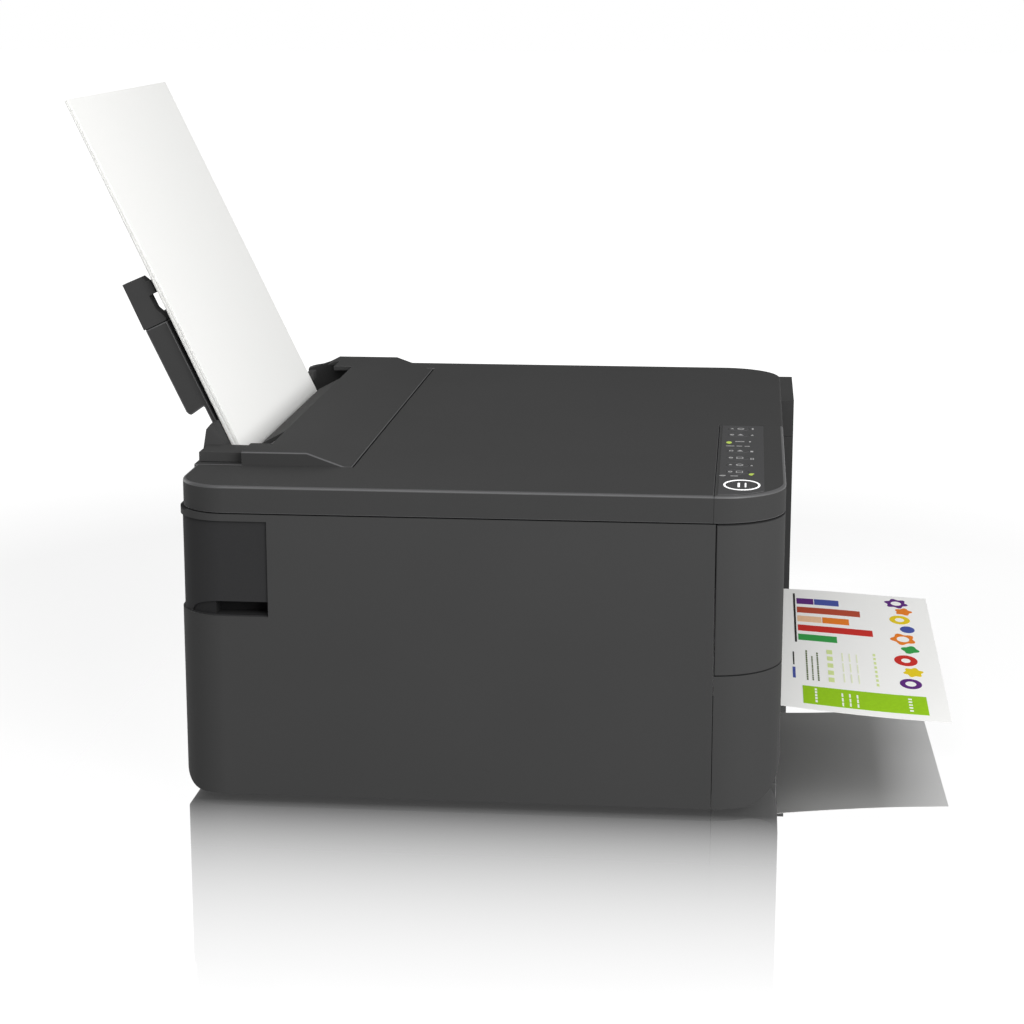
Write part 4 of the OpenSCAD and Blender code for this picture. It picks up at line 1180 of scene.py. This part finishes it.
def slab_piece(
    name: str, outline: Sequence[Flat], round_mm: float, outer: Callable[[Vector, Vector], bool], finish: Finish
) -> Object:
    """Build a slab at the cover's height with a rounded outer top edge.

    Args:
        name: The piece's name.
        outline: Its outline seen from above.
        round_mm: Width of the rounding on the outer top edge.
        outer: Tells whether an outline edge is on the outside.
        finish: The slab's finish.

    Returns:
        The piece, with its rounding applied.
    """
    seam_mm = 0.35
    bm = bmesh.new()
    prism(bm, [(x, y, BODY.cover_low) for x, y in outline], (0, 0, BODY.cover_top - BODY.cover_low))
    point_outwards(bm)
    layer = bm.edges.layers.float.new("bevel_weight_edge")
    top, near = BODY.cover_top * MM, 1e-7
    for e in bm.edges:
        a, b = (v.co for v in e.verts)
        if abs(a.z - b.z) < near:
            outside = abs(a.z - top) < near and outer(a / MM - SHIFT, b / MM - SHIFT)
            e[layer] = 1.0 if outside else seam_mm / round_mm
    obj = mesh_object(name, bm)
    coat(obj, finish)
    soften(obj, round_mm, 4, weight=True)
    return applied(obj)


@dataclass
class ControlPanel:
    """The panel block at the front left corner with its film, keys and lamps."""

    right_x: float = -7.12
    rear_y: float = -115.34
    top: float = 160.7
    key_y: float = -126.0
    key_xs: tuple[float, ...] = (-136.3, -118.6, -100.3, -81.5, -36.4, -18.6)
    # Corners of the sign on each key and of the sign behind it (0 for an ellipse)
    key_signs: tuple[tuple[int, int], ...] = ((4, 0), (0, 3), (4, 0), (3, 4), (3, 0), (0, 3))
    # Edges in this rectangle (left, front, right, rear) are the film's openings, except
    # before and left of film_corner
    openings: tuple[float, float, float, float] = (-190.3, -138.4, -10.2, -118.2)
    film_corner: Flat = (-180.0, -134.0)
    # Room for the keys under the film
    key_room: tuple[Point, Point] = ((-180.4, -138.1, 149), (-10, -118.2, 162))
    ring: Flat = (-168.4, -128.3)
    # Signs on the film: place, half sizes, corners (0 for an ellipse)
    film_signs: tuple[tuple[float, float, float, float, int], ...] = (
        (-18.2, -133.4, 2.4, 0.5, 4), (-37.0, -133.2, 2.4, 0.9, 3), (-55.6, -126.6, 1.0, 2.6, 4),
        (-55.8, -132.0, 1.6, 0.6, 0), (-68.4, -121.6, 0.7, 2.4, 4), (-68.4, -126.4, 0.7, 1.6, 4),
        (-68.6, -130.6, 0.6, 1.5, 4), (-82.8, -133.0, 1.8, 0.8, 4), (-102.5, -133.2, 2.2, 1.0, 4),
        (-120.2, -133.0, 1.9, 0.8, 3), (-146.2, -118.6, 1.3, 1.6, 0), (-146.8, -124.4, 0.7, 2.0, 4),
    )

    def outline(self) -> list[Flat]:
        """List the block's outline seen from above, counter-clockwise."""
        w, d, rf = BODY.half_w, BODY.half_d, BODY.front_r
        corner = [p for p in arc(-w + rf, -d + rf, rf, 180, 270, 18) if p[1] < self.rear_y - 0.1]
        return [(self.right_x, self.rear_y), (-w, self.rear_y)] + corner + [(self.right_x, -d)]

    def is_outer(self, p: Vector, q: Vector) -> bool:
        """Tell whether an outline edge lies on the printer's outside."""
        m = (p + q) / 2
        return m.y < self.rear_y - 0.5 and m.x < self.right_x - 0.5

    def build(self) -> None:
        """Build the block, the film, the keys and the printed signs."""
        obj = slab_piece("control_panel_block", self.outline(), 1.4, self.is_outer, Finish.COVER)
        cut(obj, [self.key_room])
        finish_piece(obj, "scanner", Finish.COVER, ["panel_housing"])
        dress_node("panel_overlay", "scanner", Finish.PANEL, 0.05, 2, self.film_edge)
        dress_node("power_key", "power_key", Finish.PANEL, 0.06)
        for i in range(1, 7):
            dress_node(f"key_{i}", f"key_{i}", Finish.PANEL, 0.06)
        dress_node("panel_lights", "scanner", Finish.LAMP, 0.15)
        self.signs()

    def film_edge(self, a: Vector, b: Vector) -> float:
        """Round only the film's outline, and not its openings."""
        m = (a + b) / 2
        left, front, right, rear = self.openings
        inner = left < m.x < right and front < m.y < rear
        return 0.0 if inner and (m.x > self.film_corner[0] or m.y > self.film_corner[1]) else 0.3

    def signs(self) -> None:
        """Print the signs on the film and the keys and the white ring, each with a painted glow, and light the lamps.
        """
        film = bmesh.new()
        for x, y, rx, ry, corners in self.film_signs:
            self.sign(film, (x, y), (rx, ry), corners)
        self.done(film, "panel_film_signs", "scanner", Finish.SIGN)
        for i, (x, (on_key, behind)) in enumerate(zip(self.key_xs, self.key_signs), 1):
            bm = bmesh.new()
            self.sign(bm, (x, self.key_y - 0.9), (2.5, 1.9), on_key)
            self.sign(bm, (x, self.key_y + 3.7), (1.7, 1.1), behind)
            self.done(bm, f"key_{i}_sign", f"key_{i}", Finish.SIGN)
        bm = bmesh.new()
        for dy, half in ((1.5, 0.6), (-1.8, 0.4)):
            self.sign(bm, (self.ring[0], self.ring[1] + dy), (5.4, half), 4)
        self.done(bm, "power_key_sign", "power_key", Finish.RING)
        bm = bmesh.new()
        z = self.top + 0.02
        outer, inner = ([(x, y, z) for x, y in ellipse(self.ring, half, 56)] for half in ((12.3, 9.0), (10.7, 8.05)))
        hoop(bm, outer, inner, 0.12)
        self.done(bm, "power_ring", "scanner", Finish.RING)
        bm = bmesh.new()
        for at, size in (((-59.0, -120.9), (3.0, 1.5)), ((-142.6, -132.7), (2.2, 1.1))):
            prism(bm, [(x, y, z) for x, y in ellipse(at, size, 28)], (0, 0, 0.1))
        self.done(bm, "status_lamp_lenses", "scanner", Finish.LAMP)

    def sign(self, bm: BMesh, at: Flat, half: Flat, corners: int) -> None:
        """Add one printed sign.

        Args:
            bm: The mesh.
            at: The sign's middle.
            half: Its half sizes.
            corners: 0 for an open ring, 3 for an arrowhead, 4 for an open frame.
        """
        z = self.top + 0.02
        thick, line = 0.04, (0.9, 0.6)
        turn, stretch = (45.0, 1.3) if corners == 4 else (0.0, 1.0)
        rx, ry = half[0] * stretch, half[1] * stretch
        outer, inner = (
            [(x, y, z) for x, y in ellipse(at, size, corners or 20, turn)]
            for size in ((rx, ry), (rx - line[0], ry - line[1]))
        )
        if min(half) < 1.0 or corners == 3:
            prism(bm, outer, (0, 0, thick))
        else:
            hoop(bm, outer, inner, thick)

    def done(self, bm: BMesh, name: str, body: str, finish: Finish) -> None:
        """Finish one set of signs on its body."""
        point_outwards(bm)
        finish_piece(mesh_object(name, bm), body, finish)


@dataclass
class PaperFeed:
    """The rear feed: hump, inner frame, guides, support and the paper stack."""

    sheets: int = 22
    sheet_w: float = 210.0
    sheet_l: float = 297.0
    hidden: float = 92.0
    foot_t: float = 5.0
    top_t: float = 2.0
    # The hump: its ridge lies above ridge_low and before ridge_rear, its toe before toe_rear
    ridge_low: float = 167.3
    ridge_rear: float = 92.0
    toe_rear: float = 70.0
    hump_ends: Flat = (-143.0, 173.0)
    # The lower end of the support's head: below this height up the feed plane, and
    # beyond this distance behind it, how far it is raised and how much thinned
    head_foot_up: float = 31.0
    head_foot_behind: float = 21.0
    head_foot_raise: float = 1.6
    head_foot_thin: float = 1.3
    # Front face of the left guide's foot, and how far it comes forward
    guide_foot_y: float = 127.7
    guide_foot_forward: float = 2.3

    def build(self) -> None:
        """Build the feed."""
        dress_all((
            ("feeder_frame", "printer", Finish.INNER, 0.3),
            ("right_edge_guide", "printer", Finish.HOUSING, 0.4),
            ("hopper_plate", "hopper", Finish.INNER, 0.3),
            ("pickup_roller", "pickup", Finish.ROLLER, 0.3),
            ("paper_support", "support", Finish.HOUSING, 0.9),
        ))
        dress_node("feeder_hump", "printer", Finish.COVER, 0.35, 3, self.hump_edge)
        self.left_guide()
        self.head()
        self.stack()

    def hump_edge(self, a: Vector, b: Vector) -> float:
        """Round the hump's ridge, its foot and the top edges of its ends more than the rest."""
        m = (a + b) / 2
        if abs(a.x - b.x) > 20:
            if m.z > self.ridge_low and m.y < self.ridge_rear:
                return 2.2
            if abs(m.z - BODY.cover_top) < 0.1 and m.y < self.toe_rear:
                return 1.2
        at_end = any(abs(m.x - x) < 0.05 for x in self.hump_ends)
        return 2.6 if at_end and m.z > BODY.cover_top - 0.1 and abs(a.y - b.y) > 5 else 0.0

    def head(self) -> None:
        """Build the support's sliding head; its slide plate thins out towards the panel's lower corner."""
        obj = cad_copy("support_head", "support_head_dressed", Finish.HOUSING, 0.12, 4, self.head_edge)
        _, behind, up = FEED.axes()
        for v in obj.data.vertices:
            p = v.co / MM - SHIFT
            far_behind, far_up = FEED.behind_and_up(p)
            if far_up < self.head_foot_up:
                v.co += up * self.head_foot_raise * MM
                if far_behind > self.head_foot_behind:
                    v.co -= behind * self.head_foot_thin * MM
        finish_piece(obj, "support_head", Finish.HOUSING, ["support_head"])

    def head_edge(self, a: Vector, b: Vector) -> float:
        """Round the horns of the support's head more than the rest."""
        behind, up = FEED.behind_and_up(a)
        return 1.7 if abs(a.x - b.x) > 5 and up > 96 and behind > 6 else 0.0

    def left_guide(self) -> None:
        """Build the sliding edge guide, whose foot reaches close to the hump."""
        obj = cad_copy("left_edge_guide", "left_edge_guide_dressed", Finish.HOUSING, 0.0)
        for v in obj.data.vertices:
            p = v.co / MM - SHIFT
            if abs(p.y - self.guide_foot_y) < 0.05 and p.z > BODY.cover_top - 0.6:
                v.co.y -= self.guide_foot_forward * MM
        soften(obj, 0.8, 3)
        finish_piece(obj, "left_guide", Finish.HOUSING, ["left_edge_guide"])

    def stack(self) -> None:
        """Lay the sheets one behind another; their tops lie closer than their feet."""
        foot, top = (self.foot_t - 0.2) / (self.sheets - 1), (self.top_t - 0.14) / (self.sheets - 1)
        half, thick = self.sheet_w / 2 - 0.4, 0.12
        _, behind, up = FEED.axes()
        corner, back, top_edge = Vector((-half, 0, 0)), behind * thick, up * self.sheet_l
        profile = [corner, corner + back, corner + back + top_edge, corner + top_edge]
        obj = unit_prism("paper_stack_sheets", profile, (2 * half, 0, 0))
        row = RowOfCopies(
            "sheets_of_the_stack",
            FEED.at(0, 0.02, -self.hidden),
            tuple(behind * foot),
            self.sheets,
            turn_deg=(math.degrees((foot - top) / self.sheet_l), 0, 0),
            stray_mm=(0.38, 0, 0),
            seed=11,
        )
        row.apply(obj, Finish.PAPER)
        # The stack's sides take a grey paper, painted as their shade
        obj.data.materials.append(Finish.CUT_EDGE.material())
        for face in obj.data.polygons:
            if abs(face.normal.x) > 0.9:
                face.material_index = 1
        finish_piece(obj, "paper_stack", Finish.PAPER, ["paper_stack"])


@dataclass
class PrintEngine:
    """The parts that carry, feed and print the sheet, inside the body."""

    def build(self) -> None:
        """Dress the engine's pieces."""
        dress_all((
            ("chassis", "printer", Finish.STEEL, 0.15),
            ("carriage_rod", "printer", Finish.ROD, 0.2),
            ("platen", "printer", Finish.INNER, 0.2),
            ("star_wheel_bar", "printer", Finish.INNER, 0.15),
            ("maintenance_station", "printer", Finish.INNER, 0.4),
            ("main_board", "printer", Finish.BOARD, 0.1),
            ("power_supply", "printer", Finish.INNER, 0.5),
            ("carriage_motor", "printer", Finish.ZINC, 0.3),
            ("feed_motor", "printer", Finish.ZINC, 0.3),
            ("timing_belt", "printer", Finish.RUBBER, 0.1),
            ("exit_belt", "printer", Finish.RUBBER, 0.1),
            ("ink_tubes", "printer", Finish.TUBE, 0.0),
            ("print_carriage", "carriage", Finish.GLOSS, 0.4),
            ("drive_pulley", "drive_pulley", Finish.NYLON, 0.2),
            ("idler_pulley", "idler_pulley", Finish.NYLON, 0.2),
            ("feed_roller", "feed_roller", Finish.STEEL, 0.15),
            ("exit_roller", "exit_roller", Finish.ROLLER, 0.15),
        ))


@dataclass
class Output:
    """The output tray and the printed sheet that comes out above it."""

    edge_ys: tuple[float, ...] = (53.0, -54.0, -95.0, -125.0, -151.5, -180.0, -210.0, -240.0)
    left_dz: tuple[float, ...] = (0.0, 0.0, -1.6, -5.0, -8.1, -11.0, -13.4, -14.9)
    right_dz: tuple[float, ...] = (0.0, 0.0, 0.3, 1.0, 1.5, 0.6, -1.2, -2.7)
    level: float = 38.0
    width: float = 210.0

    def build(self) -> None:
        """Build the trays and the sheet."""
        dress_node("output_tray", "tray", Finish.HOUSING, 0.4)
        dress_node("tray_extension", "tray_extension", Finish.HOUSING, 0.4)
        self.sheet()

    def height(self, u: float, y: float) -> float:
        """Give the sheet's height.

        Args:
            u: Place across the sheet, 0 at its left edge and 1 at its right edge.
            y: Place along the sheet.

        Returns:
            The height in millimetres.
        """
        left, right = (smooth(self.edge_ys, dz, y) for dz in (self.left_dz, self.right_dz))
        return self.level + (1 - u) * left + u * right

    def sheet(self) -> None:
        """Build the printed sheet as one smooth curved skin with its thickness."""
        bm = bmesh.new()
        nx, ny = 12, 60
        y0, y1 = self.edge_ys[0], self.edge_ys[-1]
        rows = []
        for j in range(ny + 1):
            y = y0 + (y1 - y0) * j / ny
            places = [(self.width * (i / nx - 0.5), y, self.height(i / nx, y)) for i in range(nx + 1)]
            rows.append([bm.verts.new(to_frame(place)) for place in places])
        patch(bm, rows)
        bmesh.ops.recalc_face_normals(bm, faces=bm.faces)
        if bm.faces[0].normal.z < 0:
            bmesh.ops.reverse_faces(bm, faces=bm.faces)
        obj = mesh_object("printed_sheet", bm)
        mod = obj.modifiers.new("thickness", "SOLIDIFY")
        mod.thickness = 0.2 * MM
        mod.offset = -1.0
        applied(obj)
        finish_piece(obj, "printed_page", Finish.PAPER, ["printed_page"])
        PrintedDesign(self).build()


@dataclass
class PrintedDesign:
    """The test print on the sheet: a colour band, upright bars, a row of discs and rows of dashes."""

    sheet: Output
    lift: float = 0.07
    # Discs along the leading edge: ink, place, outer half sizes, share left open, lobes
    discs: tuple[tuple, ...] = (
        (Finish.PURPLE, -50, -222.0, 8, 6.0, 0.5, 0), (Finish.YELLOW, -31, -224.5, 7, 5.0, 0.0, 6),
        (Finish.RED, -12, -221.5, 9, 6.5, 0.4, 0), (Finish.GREEN, 7, -225.0, 6, 4.6, 0.0, 4),
        (Finish.ORANGE, 25, -222.0, 9, 6.5, 0.55, 5), (Finish.BLUE, 43, -225.5, 6, 4.2, 0.0, 0),
        (Finish.YELLOW, 60, -222.0, 8, 6.0, 0.45, 0), (Finish.ORANGE, 76, -225.0, 6, 4.6, 0.0, 5),
        (Finish.PURPLE, 91, -221.5, 8, 6.2, 0.5, 6),
    )
    # Bars: ink, X from, X to, Y from, Y to
    bars: tuple[tuple, ...] = (
        (Finish.LIME, -97, -69, -229.0, -163.0),
        (Finish.KEY, 4, 96, -161.2, -160.0),
        (Finish.GREEN, 8, 19, -184.0, -162.0), (Finish.RED, 25, 36, -205.0, -162.0),
        (Finish.PEACH, 42, 53, -176.0, -162.0), (Finish.ORANGE, 42, 53, -192.0, -176.5),
        (Finish.BRICK, 59, 70, -199.0, -162.0), (Finish.PURPLE, 76, 87, -172.0, -162.0),
        (Finish.BLUE, 76, 87, -187.0, -172.5),
        (Finish.BLUE, -58, -40, -159.6, -158.0), (Finish.KEY, -36, -14, -159.2, -158.4),
    )
    # Rows along X: ink, X, Y, dash size along X and Y, step, count, stray, height of its layer
    rows: tuple[tuple, ...] = (
        (Finish.DARK_GREEN, -58, -166.0, 2.9, 0.9, 3.6, 14, 0.25, 0),
        (Finish.DARK_GREEN, -58, -169.0, 2.6, 0.8, 3.4, 12, 0.25, 0),
        (Finish.DARK_GREEN, -58, -172.0, 2.9, 0.9, 3.7, 13, 0.25, 0),
        (Finish.PALE_GREEN, -55, -179.0, 7.0, 3.2, 11.5, 5, 0.4, 0),
        (Finish.FAINT, -50, -186.0, 14.0, 0.8, 17.0, 3, 0.4, 0),
        (Finish.FAINT, -50, -190.0, 14.0, 0.8, 17.0, 3, 0.4, 0),
        (Finish.FAINT, -50, -194.0, 14.0, 0.7, 17.0, 3, 0.4, 0),
        (Finish.PALE_GREEN, -56, -204.0, 4.0, 1.4, 7.0, 8, 0.5, 0),
        (Finish.BARE, -92, -170.0, 3.2, 1.2, 4.6, 5, 0.2, 1),
        (Finish.BARE, -92, -184.0, 5.2, 0.9, 7.0, 3, 0.3, 1),
        (Finish.BARE, -92, -188.0, 5.2, 0.9, 7.0, 3, 0.3, 1),
        (Finish.BARE, -92, -192.0, 5.2, 0.9, 7.0, 3, 0.3, 1),
        (Finish.BARE, -92, -220.0, 2.0, 2.0, 4.4, 5, 0.1, 1),
    )

    def build(self) -> None:
        """Print everything."""
        bm = bmesh.new()
        inks: list[Finish] = []
        for ink, x, y, rx, ry, open_share, lobes in self.discs:
            start = len(bm.faces)
            share = open_share or 0.05
            outer, inner = self.blob((x, y), (rx, ry), lobes), self.blob((x, y), (rx * share, ry * share), 0)
            self.web(bm, outer, inner, closed=not open_share)
            self.ink_in(bm, start, ink, inks)
        for ink, x0, x1, y0, y1 in self.bars:
            start = len(bm.faces)
            nx, ny = max(int((x1 - x0) / 12), 1), max(int((y1 - y0) / 2), 1)
            patch(bm, [
                [bm.verts.new((x0 + (x1 - x0) * i / nx, y0 + (y1 - y0) * j / ny, 0)) for i in range(nx + 1)]
                for j in range(ny + 1)
            ])
            self.ink_in(bm, start, ink, inks)
        for v in bm.verts:
            v.co = to_frame((v.co.x, v.co.y, self.level(v.co.x, v.co.y)))
        obj = mesh_object("printed_shapes", bm)
        for ink in inks:
            obj.data.materials.append(ink.material())
        mod = obj.modifiers.new("ink_film", "SOLIDIFY")
        mod.thickness = 0.1 * MM
        mod.offset = -1.0
        finish_piece(obj, "printed_page", Finish.RED)
        for i, row in enumerate(self.rows):
            self.row(i, row)

    def level(self, x: float, y: float) -> float:
        """Give the height of the ink's surface."""
        return self.sheet.height(x / self.sheet.width + 0.5, y) + self.lift

    def blob(self, at: Flat, half: Flat, lobes: int) -> list[Flat]:
        """List the outline of a disc, with lobes where asked for."""
        out = []
        for i in range(36):
            a = math.tau * i / 36
            r = 1.0 + (0.16 * math.cos(lobes * a + at[1]) if lobes else 0.0)
            out.append((at[0] + half[0] * r * math.cos(a), at[1] + half[1] * r * math.sin(a)))
        return out

    def web(self, bm: BMesh, outer: Sequence[Flat], inner: Sequence[Flat], closed: bool) -> None:
        """Fill between two outlines, and inside the inner one where closed."""
        rings = [
            [bm.verts.new((a[0] + (b[0] - a[0]) * k, a[1] + (b[1] - a[1]) * k, 0)) for a, b in zip(outer, inner)]
            for k in (0.0, 0.5, 1.0)
        ]
        for a, b in zip(rings, rings[1:]):
            bridge(bm, a, b)
        if closed:
            bm.faces.new(rings[-1])

    def ink_in(self, bm: BMesh, start: int, ink: Finish, inks: list[Finish]) -> None:
        """Give the newest faces their ink."""
        if ink not in inks:
            inks.append(ink)
        bm.faces.ensure_lookup_table()
        for face in bm.faces[start:]:
            face.material_index = inks.index(ink)

    def row(self, i: int, spec: tuple) -> None:
        """Print a row of dashes, which runs straight along X with the sheet's slope.

        Args:
            i: The row's number.
            spec: One line of the table of rows.
        """
        ink, x, y, long, wide, step, count, stray, layer = spec
        z = self.level(x, y)
        corners = ((-long / 2, -wide / 2), (long / 2, -wide / 2), (long / 2, wide / 2), (-long / 2, wide / 2))
        unit = unit_prism(
            f"printed_row_{i + 1}", [(dx, dy, self.level(x + dx, y + dy) - z) for dx, dy in corners], (0, 0, -0.06)
        )
        start, steps = (x, y, z + 0.03 * layer), (step, 0, self.level(x + step, y) - z)
        row = RowOfCopies("dashes", start, steps, count, stray_mm=(stray, 0, 0), seed=20 + i)
        finish_piece(row.apply(unit, ink), "printed_page", ink)


def smooth(xs: Sequence[float], ys: Sequence[float], x: float) -> float:
    """Interpolate smoothly through given places.

    Args:
        xs: Places, falling.
        ys: Values there.
        x: The place asked for.

    Returns:
        The value there.
    """
    n = len(xs)
    slopes = []
    for i in range(n):
        a, b = max(i - 1, 0), min(i + 1, n - 1)
        slopes.append((ys[b] - ys[a]) / (xs[b] - xs[a]))
    for i in range(n - 1):
        if xs[i + 1] <= x <= xs[i] or (i == n - 2):
            h = xs[i + 1] - xs[i]
            t = min(max((x - xs[i]) / h, 0.0), 1.0)
            a, b, m0, m1 = ys[i], ys[i + 1], slopes[i] * h, slopes[i + 1] * h
            values = (2 * t**3 - 3 * t**2 + 1) * a + (-2 * t**3 + 3 * t**2) * b
            return values + (t**3 - 2 * t**2 + t) * m0 + (t**3 - t**2) * m1
    return ys[-1]


@dataclass
class InkTankUnit:
    """The ink tank unit at the right side."""

    first_y: float = -155.7
    pitch: float = 52.0
    # Level marks: how far in from the tank's near side, the lowest one and the step
    marks_in: float = 14.0
    marks_low: float = 30.0
    marks_step: float = 7.5
    inks: tuple[Finish, ...] = (Finish.BLACK_INK, Finish.CYAN_INK, Finish.MAGENTA_INK, Finish.YELLOW_INK)

    def build(self) -> None:
        """Dress the tank unit's pieces."""
        dress_node("tank_case", "printer", Finish.HOUSING, 0.8)
        dress_node("tank_cover", "tank_cover", Finish.HOUSING, 0.8, 3)
        for i in range(1, 5):
            dress_node(f"tank_cap_{i}", f"tank_cap_{i}", Finish.INNER, 0.5)
        self.tanks()

    def tanks(self) -> None:
        """Build the four translucent tanks with their ink and level marks."""
        obj = cad_copy("ink_tanks", "ink_tanks_dressed", self.inks[0], 0.0)
        for ink in self.inks[1:]:
            obj.data.materials.append(ink.material())
        for face in obj.data.polygons:
            y = (face.center / MM - SHIFT).y
            face.material_index = min(max(int((y - self.first_y) // self.pitch), 0), 3)
        soften(obj, 0.8, 2)
        finish_piece(obj, "printer", self.inks[0], ["ink_tanks"])
        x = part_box("ink_tanks")[1].x / MM - SHIFT.x
        mark = [(-0.1, y, z) for y, z in ((-4, -0.3), (4, -0.3), (4, 0.3), (-4, 0.3))]
        for i in range(4):
            unit = unit_prism(f"level_marks_{i + 1}", mark, (0.25, 0, 0))
            start = (x, self.first_y + i * self.pitch + self.marks_in, self.marks_low)
            row = RowOfCopies("level_marks", start, (0, 0, self.marks_step), 9)
            finish_piece(row.apply(unit, Finish.SIGN), "printer", Finish.SIGN)


# ---------------------------------------------------------------------- main


def main() -> None:
    """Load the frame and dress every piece."""
    FRAME.update(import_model())
    Studio().build()
    for part in (Cabinet(), DocumentCover(), ControlPanel(), PaperFeed(), PrintEngine(), Output(), InkTankUnit()):
        log.info("-- %s", type(part).__name__)
        part.build()


if __name__ == "__main__":
    main()
